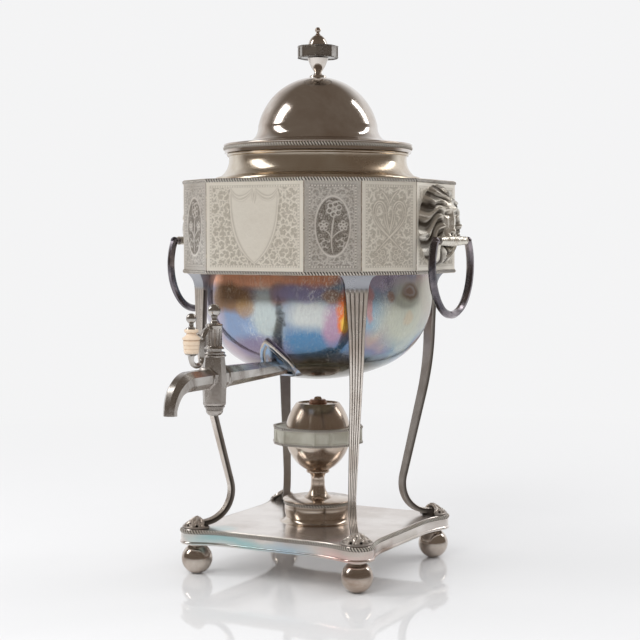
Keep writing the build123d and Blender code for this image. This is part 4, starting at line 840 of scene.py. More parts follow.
def paw_parts(heading, aside):
    """A paw: curled leaf strands that fan out from the ankle, each at its own bearing, with rings between and a hem.
    Its heart and its parts near the plate get painted shade.
    """
    forward, sideways = at_bearing(heading, 1.0), at_bearing(heading + 90, 1.0)
    centre = forward * (FOOT_REACH - 1.0) + sideways * aside + UP * PLATE_TOP
    share = np.linspace(0, 1, 24)

    def fan(turn, reach, height):
        """Points at an angle from forward, a reach and a height, on the fan."""
        turn = np.radians(turn)
        run = (np.cos(turn) * reach)[..., None] * forward + (np.sin(turn) * reach)[..., None] * sideways
        return centre + run + np.asarray(height)[..., None] * UP

    parts = []
    girth = np.interp(share, [0, 0.3, 0.7, 0.9, 1], [1.2, 1.35, 1.15, 1.25, 0.7])
    for k, turn in enumerate(np.linspace(-96, 96, PAW_STRANDS)):
        reach = PAW_RADIUS - 1.5 * (k % 2)
        sway = 10 * np.sin(share * 2 * math.pi) * (-1) ** k
        path = fan(turn + sway, 1.2 + (reach - 1.2) * share**0.8, 5.8 * (1 - share) ** 1.3 + 1.3)
        parts.append(round_tube(path, girth, 10))
    loop = np.linspace(0, 2 * math.pi, 20, endpoint=False)
    for turn in np.linspace(-84, 84, PAW_STRANDS - 1):
        for reach, height, size in ((8.9, 2.1, 1.5), (5.6, 3.7, 1.0)):
            swing = np.degrees(size / reach) * np.cos(loop)
            path = fan(turn + swing, reach - 0.5 * size * np.sin(loop), height + size * np.sin(loop))
            parts.append(carried(path, ring_section(8) * 0.5, UP, closed=True))
    hem = fan(np.linspace(-112, 112, 60), np.full(60, PAW_RADIUS), np.full(60, 0.9))
    parts.append(round_tube(hem, 0.9, 10))
    heart = line((0, -0.2), (8.6, -0.2), (7.2, 1.5), (5.0, 2.9), (3.2, 4.6), (2.0, 6.0), (0, 6.4))
    points, faces, worn_and_shaded = turned(heart, around=40)
    # Painted shade: the heart under the strands takes nearly the groove colour.
    parts.append((points + centre, faces, worn_and_shaded * 0.12))
    # Painted shade: every part darkens towards the groove colour within 5 mm of the plate.
    with_painted_shade = []
    for points, faces, worn_and_shaded in parts:
        with_painted_shade.append((points, faces, worn_and_shaded * np.clip(0.35 + (points[:, 2] - PLATE_TOP) / 5.0, 0, 1)))
    return with_painted_shade


def make_legs():
    for corner, bearing, side in FEET:
        heading, aside = bearing + side * LEG_TURN, -side * FOOT_ASIDE
        make_piece(f"reeded_leg_{corner}", [leg_grid(heading, aside)], "leg", "urn", [f"leg_{corner}"])
        make_piece(f"claw_paw_{corner}", paw_parts(heading, aside), "leg", "urn", [f"paw_{corner}"])


# Bowl and tap plate

BOWL_SIDE_RADIUS = 56.0
BOWL_TURN_RISE = 62.0
BOWL_FLATNESS = 6.0
BOWL_SHEET = 1.5
RIM_STEP = 0.8


def bowl_profile(inset=0.0):
    """The bowl's outline from its middle up: a wide base arc, a side arc that it meets smoothly, and a short wall."""
    side_in = BOWL_RADIUS - BOWL_SIDE_RADIUS
    turn = BOWL_LOW[2] + BOWL_TURN_RISE
    base = (side_in**2 + BOWL_TURN_RISE**2 - BOWL_SIDE_RADIUS**2) / (2 * BOWL_FLATNESS)
    centre = BOWL_LOW[2] + base
    join = math.degrees(math.atan2(centre - turn, side_in))
    lower = round_arc((0, centre), base - inset, -90, -join, 30)
    upper = round_arc((side_in, turn), BOWL_SIDE_RADIUS - inset, -join, 0, 60)
    return line(lower, upper, (BOWL_RADIUS - inset, BOWL_HIGH[2]))


def bowl_radius_at(height):
    """The bowl's outer radius at a height."""
    outline = bowl_profile()
    return np.interp(height, outline[:, 1], outline[:, 0])


def on_bowl(points, lift):
    """Carries a flat drawing (sideways, height) onto the front of the bowl, a lift outside its surface."""
    radius = bowl_radius_at(points[:, 1]) + lift
    depth = np.sqrt(np.maximum(radius**2 - points[:, 0] ** 2, 0))
    return np.column_stack([points[:, 0], -depth, points[:, 1]])


def shield_outline(inset=0.0):
    """The tap plate's outline: a pointed arch over a straight foot, drawn smaller by an inset."""
    level = (BARREL_LOW[2] + BARREL_HIGH[2]) / 2 + 2.3
    apex, shoulder = (0, level + 19.3 - 1.3 * inset), (10.4 - inset, level + 5.0)
    arch = arc(apex, (6.6 - inset * 0.8, level + 12.0 - inset * 0.4), shoulder, 12)
    flank = arc(shoulder, (10.0 - inset, level - 2.8), (7.0 - inset, level - 7.0 + inset), 8)
    right = line(arch, flank)
    return line(right, right[::-1] * (-1, 1))[:-1]


def make_bowl():
    shell = line(bowl_profile(), bowl_profile(BOWL_SHEET)[::-1])
    make_piece("bowl_shell", [turned(shell, around=192)], "bowl", "urn", ["bowl"])
    rims = []
    for inset, radius, lift in ((1.0, 1.25, 2.0), (3.3, 0.85, 1.8)):
        outline = spaced(shield_outline(inset), RIM_STEP, closed=True)
        path = spaced(on_bowl(outline, lift), RIM_STEP, closed=True)
        rims.append(carried(path, ring_section(10) * radius, at_bearing(0, 1.0), closed=True))
    make_piece("shield_rims", rims, "rim", "urn")
    finish_node("tap_escutcheon", "plate")


# Belt

PANEL_MARGIN = 0.35
PANEL_PROUD = 0.30
DASH_PITCH = 2.0
# Size of the scrolls where it isn't the usual one
LEAF_SIZES = {"flower": 3.6}


def stroke_field(u, v, strokes):
    """How deep each grid point lies in the strokes: exp(-(distance / width) ** 2) to the nearest point of any."""
    field = np.zeros(u.shape)
    columns, rows = u[0], v[:, 0]
    for points, width in strokes:
        points = spaced(points, 0.3)
        taper = width * (0.4 + 0.6 * np.sin(np.linspace(0.12, 3.02, len(points))))
        for (x, y), w in zip(points, taper):
            i = slice(*np.searchsorted(rows, (y - 2 * w, y + 2 * w)))
            j = slice(*np.searchsorted(columns, (x - 2 * w, x + 2 * w)))
            near = np.exp(-((u[i, j] - x) ** 2 + (v[i, j] - y) ** 2) / (w * w))
            field[i, j] = np.maximum(field[i, j], near)
    return field


def scroll(centre, size, turns, start, hand, leaves=6):
    """A spiral stem whose radius shrinks as it turns, with leaves that curl off its outer side."""
    t = np.linspace(0, 1, 54)
    angle = math.radians(start) + hand * 2 * math.pi * turns * t
    radius = size * (1 - 0.86 * t)
    out = np.stack([np.cos(angle), np.sin(angle)], axis=1)
    stem = np.array(centre) + radius[:, None] * out
    strokes = [(stem, 0.09 * size)]
    curl = np.linspace(0, 1, 9)[:, None]
    for k in np.linspace(1, 36, leaves).astype(int):
        along = np.array([-out[k, 1], out[k, 0]]) * hand
        strokes.append((stem[k] + size * (0.36 * np.sin(curl * 1.9) * out[k] + 0.5 * curl * along), 0.105 * size))
        strokes.append((stem[k] - size * 0.24 * np.sin(curl * 1.9) * out[k] + size * 0.34 * curl * along, 0.075 * size))
    return strokes


def foliage(half_width, half_height, size, seed):
    """Scrolls on staggered rows over a field, each turned at random the other way round from its neighbour."""
    random = np.random.default_rng(seed)
    strokes = []
    rows = np.arange(-half_height, half_height + size, 1.55 * size)
    for row, y in enumerate(rows):
        for column, x in enumerate(np.arange(-half_width + (row % 2) * size * 0.85, half_width + size, 1.75 * size)):
            nudge = random.uniform(-0.22, 0.22, 2) * size
            hand = 1 if (row + column) % 2 else -1
            grown, start = size * random.uniform(0.8, 1.1), random.uniform(0, 360)
            strokes += scroll(np.array([x, y]) + nudge, grown, 1.25, start, hand)
    return strokes


def rosette(centre, size, petals):
    """A flower: round petals about a heart, each a closed curve."""
    t = np.linspace(0, 2 * math.pi, 22)
    ring = np.stack([np.cos(t), np.sin(t)], axis=1)
    strokes = [(np.array(centre) + size * 0.2 * ring, 0.4)]
    for k in range(petals):
        turn = 2 * math.pi * (k + 0.3) / petals
        middle = np.array(centre) + size * 0.62 * np.array([math.cos(turn), math.sin(turn)])
        strokes.append((middle + size * 0.31 * ring, 0.42))
    return strokes


def mirrored(strokes):
    """The strokes and their mirror images left and right."""
    return strokes + [(points * (-1, 1), width) for points, width in strokes]


def curve(*points, steps=26):
    """A smooth stroke through three or four points, as a Bezier curve."""
    t = np.linspace(0, 1, steps)[:, None]
    p = [np.array(q, float) for q in points]
    if len(p) == 3:
        return (1 - t) ** 2 * p[0] + 2 * t * (1 - t) * p[1] + t**2 * p[2]
    return (1 - t) ** 3 * p[0] + 3 * t * (1 - t) ** 2 * p[1] + 3 * t**2 * (1 - t) * p[2] + t**3 * p[3]


def shield_strokes():
    """The outline of a shield that comes to a point, under two swags."""
    side = [(curve((18.5, 25.5), (20.8, 2.0), (13.5, -17.0), (0, -25.5), steps=60), 0.62)]
    swag = [(curve((18.5, 25.5), (12, 15), (1.5, 25.5)), 0.5), (curve((18.5, 23.5), (12, 12.5), (1.5, 23.5)), 0.4)]
    tassel = [(curve((18.5, 25.5), (21, 19), (18.5, 13)), 0.55), (curve((1.5, 25), (0.6, 20), (0.2, 16)), 0.45)]
    return mirrored(side + swag + tassel)


def flower_strokes():
    """A spray of three flowers on one stem, with curling leaves at its foot."""
    stem = [
        (curve((0, -18), (-2, -8), (0, 0), (1, 8)), 0.55),
        (curve((-0.6, -9), (-2.5, -3), (-6, -3)), 0.4), (curve((-0.4, -8), (3.5, -3), (7, -3)), 0.4),
        (curve((0.4, 15.5), (-2, 18.5), (-4.5, 16)), 0.42), (curve((1, 15.5), (4, 18.5), (6.5, 15)), 0.42),
    ]
    curls = scroll((-5.5, -12.5), 3.4, 1.1, 20, 1, 5) + scroll((5.6, -12.0), 3.4, 1.1, 160, -1, 5)
    curls += scroll((-8.0, -6.5), 2.0, 1.0, 300, -1, 3) + scroll((8.4, -6.0), 2.0, 1.0, 240, 1, 3)
    curls += scroll((8.6, 7.0), 1.7, 1.1, 250, 1, 3) + scroll((-8.0, 7.5), 1.7, 1.1, 290, -1, 3)
    return stem + curls + rosette((1.0, 11.5), 5.6, 6) + rosette((-6.2, 0.4), 3.5, 5) + rosette((7.2, 0.4), 3.5, 5)


def ribbon_strokes():
    """A ribbon in two tall loops that cross under them, each drawn as two lines, over two flowers."""
    loops = []
    for inset, width in ((0.0, 0.6), (2.0, 0.45)):
        outer, inner = (13.2 - inset, 8), (2.4 + inset, 9)
        loops.append((curve((-10, -17), (0, -6), (11 - inset, -1), outer), width))
        loops.append((curve(outer, (14 - inset, 19 - inset), (3 + inset, 21 - inset), inner), width))
        loops.append((curve(inner, (2.2 + inset, 4), (1.5 + inset, 1), (-0.5, -5)), width))
    return mirrored(loops + rosette((7.6, -20.0), 5.0, 6) + [(curve((0, 15), (3, 22), (7, 24)), 0.6)])


# The shield's half width at some heights
SHIELD_EDGE = ((-26.0, -24.0, -17.0, -8.0, 4.0, 26.0), (0.0, 3.0, 11.0, 15.8, 18.6, 18.9))
OVAL_WIDTH = 11.9
OVAL_HEIGHT = 20.4


def panel_parts(kind, width, height, seed):
    """A belt panel's grid, its lift, its cuts and its dark ground. A row of dashes frames every panel."""
    step = sizes().engraving_step
    columns, rows = int(width / step), int(height / step)
    u, v = np.meshgrid(np.linspace(-width / 2, width / 2, columns), np.linspace(-height / 2, height / 2, rows))
    a, b = width / 2 - 3.6, height / 2 - 3.4
    edge = np.maximum(np.abs(u) - a, np.abs(v) - b)
    along = np.where(np.abs(u) - a > np.abs(v) - b, v, u)
    dash = np.exp(-((edge / 0.55) ** 4)) * np.clip(0.5 + 1.4 * np.cos(2 * math.pi * along / DASH_PITCH), 0, 1)
    frame_line = np.exp(-((edge / 0.9) ** 4))
    gaps = frame_line * (1 - dash)
    field = (edge < -1.0).astype(float)
    leaves = stroke_field(u, v, foliage(a, b, LEAF_SIZES.get(kind, 5.2), seed)) * field
    if kind == "lion":
        return u, v, leaves, 0.5 * (1 - dash) * frame_line, field * 0.9 * (1 - 0.7 * leaves)
    if kind == "flower":
        oval = np.hypot(u / OVAL_WIDTH, v / OVAL_HEIGHT)
        rim = np.exp(-(((oval - 1.0) * 13.0 / 0.55) ** 2))
        spray = stroke_field(u, v, flower_strokes()) * (oval < 1)
        bright = np.maximum(np.maximum(spray, rim), leaves * (oval > 1.03) * 0.8)
        # Inside the oval the ground is a painted reflection of the dark room; outside it is the matted field between
        # leaves.
        ground = np.where(oval < 1, 1.0, 0.72 * field) * (1 - bright) + gaps * 0.8 + 0.45 * (edge > 0.8)
        return u, v, bright + dash, np.zeros(u.shape), np.clip(ground, 0, 1)
    strokes = shield_strokes() if kind == "shield" else ribbon_strokes()
    drawn = stroke_field(u, v, strokes) * field
    flank = np.clip(stroke_field(u, v, [(points, 2.0 * width) for points, width in strokes]) * field - drawn, 0, 1)
    if kind == "shield":
        outside = np.abs(u) > np.interp(v, *SHIELD_EDGE)
        leaves = leaves * np.where(outside, 1.0, 0.22)
        ground = field * np.where(outside, 0.85, 0.14)
    else:
        leaves = leaves * (1 - np.clip(stroke_field(u, v, [(points, 1.5) for points, _ in strokes]), 0, 1))
        ground = field * 0.75
    bright = np.clip(leaves + dash + drawn, 0, 1)
    ground = ground * (1 - leaves) * (1 - drawn) + gaps * 0.7
    return u, v, bright, np.clip(flank * 0.75, 0, 1), np.clip(ground, 0, 1)


def make_panel(index, kind, bearing, gap):
    """One side of the belt: a grid of the engraving, closed behind by one flat face, turned to its bearing."""
    middle = bearing + gap / 2
    width = 2 * BELT_RADIUS * math.sin(math.radians(gap / 2)) - 2 * PANEL_MARGIN
    distance = BELT_RADIUS * math.cos(math.radians(gap / 2))
    height = BELT_TOP - BELT_BOTTOM - 2 * BORDER_HEIGHT + 1.0
    u, v, raised, cut, ground = panel_parts(kind, width, height, index)
    lift = PANEL_PROUD + sizes().engraving_depth * (raised - 1)
    lift[[0, -1]] = 0.0
    lift[:, [0, -1]] = 0.0
    outwards, sideways = at_bearing(middle, 1.0), at_bearing(middle + 90, 1.0)
    points = outwards * (distance + lift)[..., None] + sideways * u[..., None]
    points = points + UP * (v + (BELT_TOP + BELT_BOTTOM) / 2)[..., None]
    flat, faces, worn_and_shaded = grid(points, wear_and_shade=1 - cut, close_columns=False)
    places = np.arange(u.size).reshape(u.shape)
    loop = np.r_[places[0], places[1:, -1], places[-1, -2::-1], places[-2:0:-1, 0]]
    faces.append(loop[::-1].tolist())
    finish = "flower_belt" if kind == "flower" else "belt"
    piece = make_piece(f"{kind}_panel_{index:02d}", [(flat, faces, worn_and_shaded)], finish, "urn", sharp=60)
    attribute = piece.data.attributes.new("ground", "FLOAT", "POINT")
    attribute.data.foreach_set("value", ground.reshape(-1).astype(np.float32))


def make_belt():
    spans = ((2 * SHIELD_HALF, "shield"), (2 * LION_HALF, "lion"), (FLOWER_EDGE - SHIELD_HALF, "flower"))
    kinds = {round(gap): kind for gap, kind in spans}
    for index, bearing in enumerate(BEARINGS):
        gap = (BEARINGS[(index + 1) % len(BEARINGS)] - bearing) % 360
        make_panel(index, kinds.get(round(gap), "ribbon"), bearing, gap)
    for end, level in (("top", BELT_TOP - BORDER_HEIGHT / 2), ("bottom", BELT_BOTTOM + BORDER_HEIGHT / 2)):
        border = rope(twelve_sided(BELT_RADIUS), level, ROPE_RADIUS, 0.4)
        make_piece(f"belt_{end}_border_rope", [border], "rope", "urn", [f"belt_{end}_border"])
    for node in ("belt_wall", "belt_floor", "shoulder_plate"):
        finish_node(node, "shoulder")


# Neck, lid and finial

DOME_RADIUS = 45.0
LID_SHEET = 1.4
BUD_RADIUS = 2.15


def make_neck():
    low, high = span("neck")
    foot, bottom, top = high[0], low[2], high[2]
    waist, mouth = foot - 10.7, foot - 12.3
    neck = line(
        (mouth, top), (mouth, bottom), (foot, bottom), (foot, bottom + 1.0),
        arc((foot, bottom + 1.0), (foot - 1.2, bottom + 2.9), (foot - 3.6, bottom + 3.2), 8),
        arc((foot - 4.1, bottom + 3.4), (waist + 1.4, bottom + 9.4), (waist, top - 2.4), 20),
        arc((waist, top - 2.4), (waist + 1.5, top - 1.2), (waist + 0.6, top - 0.02), 8),
    )
    make_piece("neck_cove", [turned(neck, around=192, loop=True)], "neck", "urn", ["neck"])


def make_lid():
    make_neck()
    low, high = span("lid_shell")
    rim, bottom, edge = high[0], low[2], low[2] + 6.6
    centre, inner = high[2] - DOME_RADIUS, DOME_RADIUS - LID_SHEET
    crown = round_arc((0, centre), DOME_RADIUS, 90, 11, 66)
    shell = line(
        crown, arc(crown[-1], (DOME_RADIUS + 0.5, centre + 2.6), (DOME_RADIUS + 4.6, centre - 2.0), 12),
        arc((rim - 1.2, edge), (rim, edge - 0.8), (rim - 0.8, edge - 1.6), 8),
        (rim - 0.8, bottom), (rim - 3.4, bottom), (rim - 3.4, edge - 1.6), (inner, centre - 6.2),
        round_arc((0, centre), inner, 0, 90, 60),
    )
    make_piece("lid_dome", [turned(shell, around=192)], "lid", "lid", ["lid_shell"])
    border = rope(circle_corners(rim - 0.8), edge - 1.6 - BORDER_HEIGHT / 2, ROPE_RADIUS, 0.45)
    make_piece("lid_rope", [border], "rope", "lid", ["lid_border"])
    finish_node("lid_bezel", "neck")


def panelled_band(radius, low, high, sunk, rim):
    """A twelve-sided band whose sides are sunk inside a border: nested rectangles on each side, closed by two faces."""
    corners = twelve_sided(radius)
    vertices, faces = [], []
    for start, end in zip(corners, np.roll(corners, -1, axis=0)):
        width = np.linalg.norm(end - start)
        side = (end - start) / width
        inwards = np.array([-side[1], side[0]]) * sunk
        base = len(vertices)
        for inset, depth in ((0.0, 0.0), (rim, 0.0), (rim + sunk * 0.8, 1.0)):
            left, right, bottom, top = inset, width - inset, low + inset, high - inset
            for along, level in ((left, bottom), (right, bottom), (right, top), (left, top)):
                vertices.append((*(start + side * along + inwards * depth), level))
        for loop in (base, base + 4):
            for k, following in ((0, 1), (1, 2), (2, 3), (3, 0)):
                faces.append([loop + k, loop + following, loop + 4 + following, loop + 4 + k])
        faces.append(list(range(base + 8, base + 12)))
    for level in (low, high):
        faces.append(list(range(len(vertices), len(vertices) + len(corners))))
        vertices += [(*corner, level) for corner in corners]
    return np.array(vertices), faces, np.ones(len(vertices))


def make_finial():
    low, high = span("finial_band")
    radius = high[0] / math.cos(math.radians(LION_HALF))
    band = [panelled_band(radius, low[2] + 0.5, high[2] - 0.5, 0.45, 0.55)]
    for level in (low[2] + 0.45, high[2] - 0.45):
        band.append(rope(twelve_sided(radius), level, 0.55, 0.3, pitch=1.2))
    make_piece("finial_panels", band, "tap", "lid", ["finial_band"])
    top = heights("finial_stem")[1]
    foot = top - 13.6
    stem = line(
        (1.4, foot - 1.2), (6.3, foot - 1.2), arc((6.3, foot + 0.4), (6.0, foot + 0.9), (5.2, foot + 1.2), 5),
        arc((5.2, foot + 1.2), (3.4, foot + 2.0), (2.8, foot + 3.8), 10),
        arc((2.8, foot + 3.8), (5.8, foot + 8.8), (7.6, top), 16), (1.4, top),
    )
    make_piece("finial_cup", [turned(stem, around=96, loop=True)], "lid", "lid", ["finial_stem"])
    foot, top = heights("finial_cap")
    cap = line(
        (0, foot - 0.3), (7.9, foot - 0.3), (7.9, foot + 0.3),
        arc((7.2, foot + 0.5), (5.75, foot + 4.9), (1.7, foot + 8.4), 16),
        (1.9, foot + 8.7), (1.1, foot + 9.5), round_arc((0, top - BUD_RADIUS), BUD_RADIUS, -60, 90, 18),
    )
    make_piece("finial_top", [turned(cap, around=96)], "ball", "lid", ["finial_cap"])
    finish_node("finial_nut", "plain_tap")


# Tap and key

# The water way's height over the barrel's foot
WATER_WAY = 18.6
SPOUT_REACH = 52.5
SPOUT_BEND = 20.0
# How far the lever's first bend and the grip stand in front of the post
LEVER_BEND = 14.9
GRIP_REACH = 27.6
GRIP_AXIS = (0.0, -BARREL_AT - GRIP_REACH)
# The grip's radius at some heights over its foot, and its grooves: height, width and depth
GRIP_OUTLINE = (
    (0.0, 4.0), (0.6, 4.7), (1.6, 4.9), (8.4, 5.5), (8.9, 5.1), (9.3, 5.9), (10.2, 6.0),
    (10.9, 5.2), (11.8, 3.9), (12.8, 3.2), (13.4, 3.3), (14.1, 4.5), (15.2, 4.75), (16.0, 4.3),
)
GRIP_GROOVES = ((8.9, 0.22, 1.0), (3.2, 0.16, 1.0), (5.6, 0.16, 1.0), (13.4, 0.3, 0.7))


def eight_sided(path, radius):
    """An eight-sided bar in a plane that stands upright, with flats up, down and sideways."""
    return round_tube(path, radius, 8, RIGHT, start=math.pi / 8)


def make_spout(level):
    """The spout runs forwards, then bends down through a quarter turn, and narrows on its way."""
    corners = [(BARREL_AT + 4, level), (BARREL_AT + SPOUT_REACH, level), (BARREL_AT + SPOUT_REACH, level - SPOUT_BEND)]
    flat = spaced(line(filleted(corners, [SPOUT_BEND], 20)), 1.5)
    path = at_bearing(0, flat[:, 0], flat[:, 1])
    onwards = np.clip((flat[:, 0] - BARREL_AT - 32.5) / 20.0, 0, 1)
    share = onwards * 0.35 + np.clip((level - flat[:, 1]) / 20.0, 0, 1) * 0.65
    parts = [eight_sided(path, 6.9 - 2.7 * share), eight_sided(path[-3:], 4.55)]
    make_piece("spout_eight_sided", parts, "plain_tap", "urn", ["tap_spout"], sharp=24)
    # A dark disc at the spout's end: painted shade where the open bore would be.
    mouth = round_tube(path[-2:] - 0.04 * UP, 2.5, 24, RIGHT)
    make_piece("spout_mouth", [mouth], "mouth", "urn")


def make_tap():
    bottom = BARREL_LOW[2]
    level = bottom + WATER_WAY
    mouldings = []
    stretch, swell = np.array([-1.3, -1.0, -0.4, 0.4, 1.0, 1.3]), np.array([0.88, 0.96, 1.0, 1.0, 0.96, 0.88])
    for at, size in ((BARREL_AT - 9.4, 8.3), (BARREL_AT - 13.0, 7.6), (BARREL_AT + 9.4, 8.0)):
        mouldings.append(eight_sided(at_bearing(0, at + stretch, level), size * swell))
    make_piece("shank_mouldings", mouldings, "plain_tap", "urn", sharp=24)
    make_spout(level)
    foot_ring = line((0, bottom), (6.4, bottom), (7.4, bottom + 0.8), (7.6, bottom + 2.3), (0, bottom + 2.3))
    head_rings = line(
        (0, level + 13.9), arc((7.4, level + 13.9), (7.9, level + 14.6), (7.4, level + 15.3), 6), (6.6, level + 15.5),
        arc((6.9, level + 15.7), (7.2, level + 16.4), (6.8, level + 17.15), 6), (0, level + 17.15),
    )
    parts = [turned(foot_ring, BARREL_AXIS, 64), turned(head_rings, BARREL_AXIS, 64)]
    loops = []
    for radius, height in ((7.6, level - 16.4), (8.3, level), (7.0, level + 14.0)):
        loops.append(np.column_stack([ring_section(8, math.pi / 8) * radius + BARREL_AXIS, np.full(8, height)]))
    parts.append(grid(np.array(loops), caps=True))
    make_piece("barrel_eight_sided", parts, "plain_tap", "urn", ["tap_barrel"], sharp=24)
    finish_node("tap_shank", "plain_tap")
    finish_node("tap_strainer", "plain_tap")


def make_post():
    """The plug with its fluted post, the washer and the cup-shaped nut."""
    foot, top = heights("tap_plug")
    post_foot, flutes = top - 15.0, sizes().flutes

    def fluting(angle, height):
        return 1 - 0.10 * (0.5 + 0.5 * np.cos(flutes * angle)) * ((height > post_foot + 2.0) & (height < top - 1.6))

    post = line(
        (0, foot), (2.5, foot), (2.5, BARREL_LOW[2]), (3.9, BARREL_LOW[2]), (4.9, post_foot),
        arc((6.5, post_foot), (6.4, post_foot + 0.9), (5.6, post_foot + 1.4), 5),
        (5.3, post_foot + 1.8), (5.3, post_foot + 2.3),
        (5.3, top - 1.9), (5.3, top - 1.3), (5.6, top - 0.8), (5.6, top), (0, top),
    )
    parts = [turned(post, BARREL_AXIS, 144, fluting)]
    make_piece("fluted_post", parts, "plain_tap", "tap_key", ["tap_plug"], sharp=40)
    finish_node("plug_washer", "plain_tap")
    foot, top = heights("plug_nut")
    nut = line(
        (0, top - 0.02), (6.0, top - 0.02), (6.0, top - 1.2), arc((5.7, top - 1.3), (5.0, top - 4.2), (2.4, foot), 10),
        (0, foot),
    )
    make_piece("cup_nut", [turned(nut, BARREL_AXIS, 64)], "plain_tap", "tap_key", ["plug_nut"])


def make_lever(top, grip_foot):
    """The lever: a cap on the post, a ridged wire in an S that thins and thickens, a spur and the grip's saucer."""
    cap = line(
        (0, top - 0.3), arc((5.6, top - 0.3), (5.6, top + 1.0), (4.4, top + 1.6), 6),
        arc((4.4, top + 1.6), (2.6, top + 2.2), (2.2, top + 4.0), 8), (0, top + 4.0),
    )
    level = heights("key_lever")[0] + 1.75
    high_run, low_run = [(2.0, top - 1.5), (LEVER_BEND, top - 1.5)], [(LEVER_BEND, level), (GRIP_REACH, level)]
    flat = spaced(filleted([*high_run, *low_run, (GRIP_REACH, grip_foot)], [9.0, 5.2, 5.2], 14), 0.8)
    share = np.linspace(0, 1, len(flat))
    girth = np.interp(share, [0, 0.15, 0.4, 0.6, 0.75, 0.9, 1.0], [2.1, 2.0, 1.75, 1.55, 1.7, 1.6, 2.2])
    ridges = 1 + 0.10 * np.cos(5 * np.linspace(0, 2 * math.pi, 20, endpoint=False))
    section = (ring_section(20) * ridges[:, None])[None] * girth[:, None, None]
    wire = carried(at_bearing(0, BARREL_AT + flat[:, 0], flat[:, 1]), section, RIGHT)
    curl = np.linspace(0, 1, 16)
    reach = BARREL_AT + (LEVER_BEND + 4.6 * np.sin(curl * 2.2))
    spur_path = at_bearing(0, reach, top - 7.5 + 5.2 * curl - 2.0 * curl**2)
    spur = round_tube(spur_path, np.interp(curl, [0, 0.5, 1], [1.4, 1.2, 0.35]), 12, RIGHT)
    foot, head = grip_foot - 1.3, grip_foot + 0.2
    saucer = line((0, foot), (2.4, foot), (4.3, grip_foot - 0.1), (4.3, head), (0, head))
    parts = [turned(cap, BARREL_AXIS, 72), wire, spur, turned(saucer, GRIP_AXIS, 48)]
    make_piece("scrolled_lever", parts, "plain_tap", "tap_key", ["key_lever"])


def make_grip(foot):
    """The ivory grip: a turned outline with grooves, each exp(-((rise - place) / width) ** 2), that are worn dark."""
    smooth = spaced(np.array([(radius, foot + rise) for rise, radius in GRIP_OUTLINE]), 0.22)
    rise = smooth[:, 1] - foot
    groove = sum(np.exp(-(((rise - place) / width) ** 2)) * depth for place, width, depth in GRIP_GROOVES)
    smooth[:, 0] -= 0.22 * groove
    profile = line((0, foot), smooth, (0, heights("key_grip")[1]))
    points, faces, _ = turned(profile, GRIP_AXIS, 72)
    worn_and_shaded = np.repeat(np.r_[1.0, 1 - 0.75 * np.clip(groove, 0, 1), 1.0], 72)[: len(points)]
    make_piece("ivory_grip", [(points, faces, worn_and_shaded)], "ivory", "tap_key", ["key_grip"])


def make_key():
    make_post()
    top, (foot, head) = heights("tap_plug")[1], heights("key_grip")
    make_lever(top, foot)
    end = heights("key_post_finial")[1]
    ball = line(
        (0, top + 2.2), (2.7, top + 2.2), (1.9, top + 4.0), (1.7, end - 9.4), (2.3, end - 9.0),
        round_arc((0, end - 4.4), 4.35, -58, 90, 26),
    )
    make_piece("post_ball", [turned(ball, BARREL_AXIS, 72)], "plain_tap", "tap_key", ["key_post_finial"])
    make_grip(foot)
    end = heights("key_grip_finial")[1]
    knob = line(
        (0, head), (3.8, head), arc((3.4, head + 0.8), (1.9, head + 1.4), (1.5, head + 2.6), 8),
        (1.5, end - 6.6), (2.0, end - 6.2), round_arc((0, end - 3.4), 3.35, -55, 90, 22),
    )
    make_piece("grip_knob", [turned(knob, GRIP_AXIS, 64)], "plain_tap", "tap_key", ["key_grip_finial"])


# Masks and rings

MASK_HALF_WIDTH = 31.0
MASK_HALF_HEIGHT = 29.0
MASK_RINGS = 90
MASK_RAYS = 240
ALONG_BAR = np.array([0.0, 1.0, 0.0])
ROLL_BORE = 2.06
RING_RADIUS = 34.6
KNOB_RADIUS = 2.9


def hump(u, v, at, size, height):
    """A smooth hill: height * exp(-((u - x) / a) ** 2 - ((v - y) / b) ** 2)."""
    return height * np.exp(-(((u - at[0]) / size[0]) ** 2) - ((v - at[1]) / size[1]) ** 2)


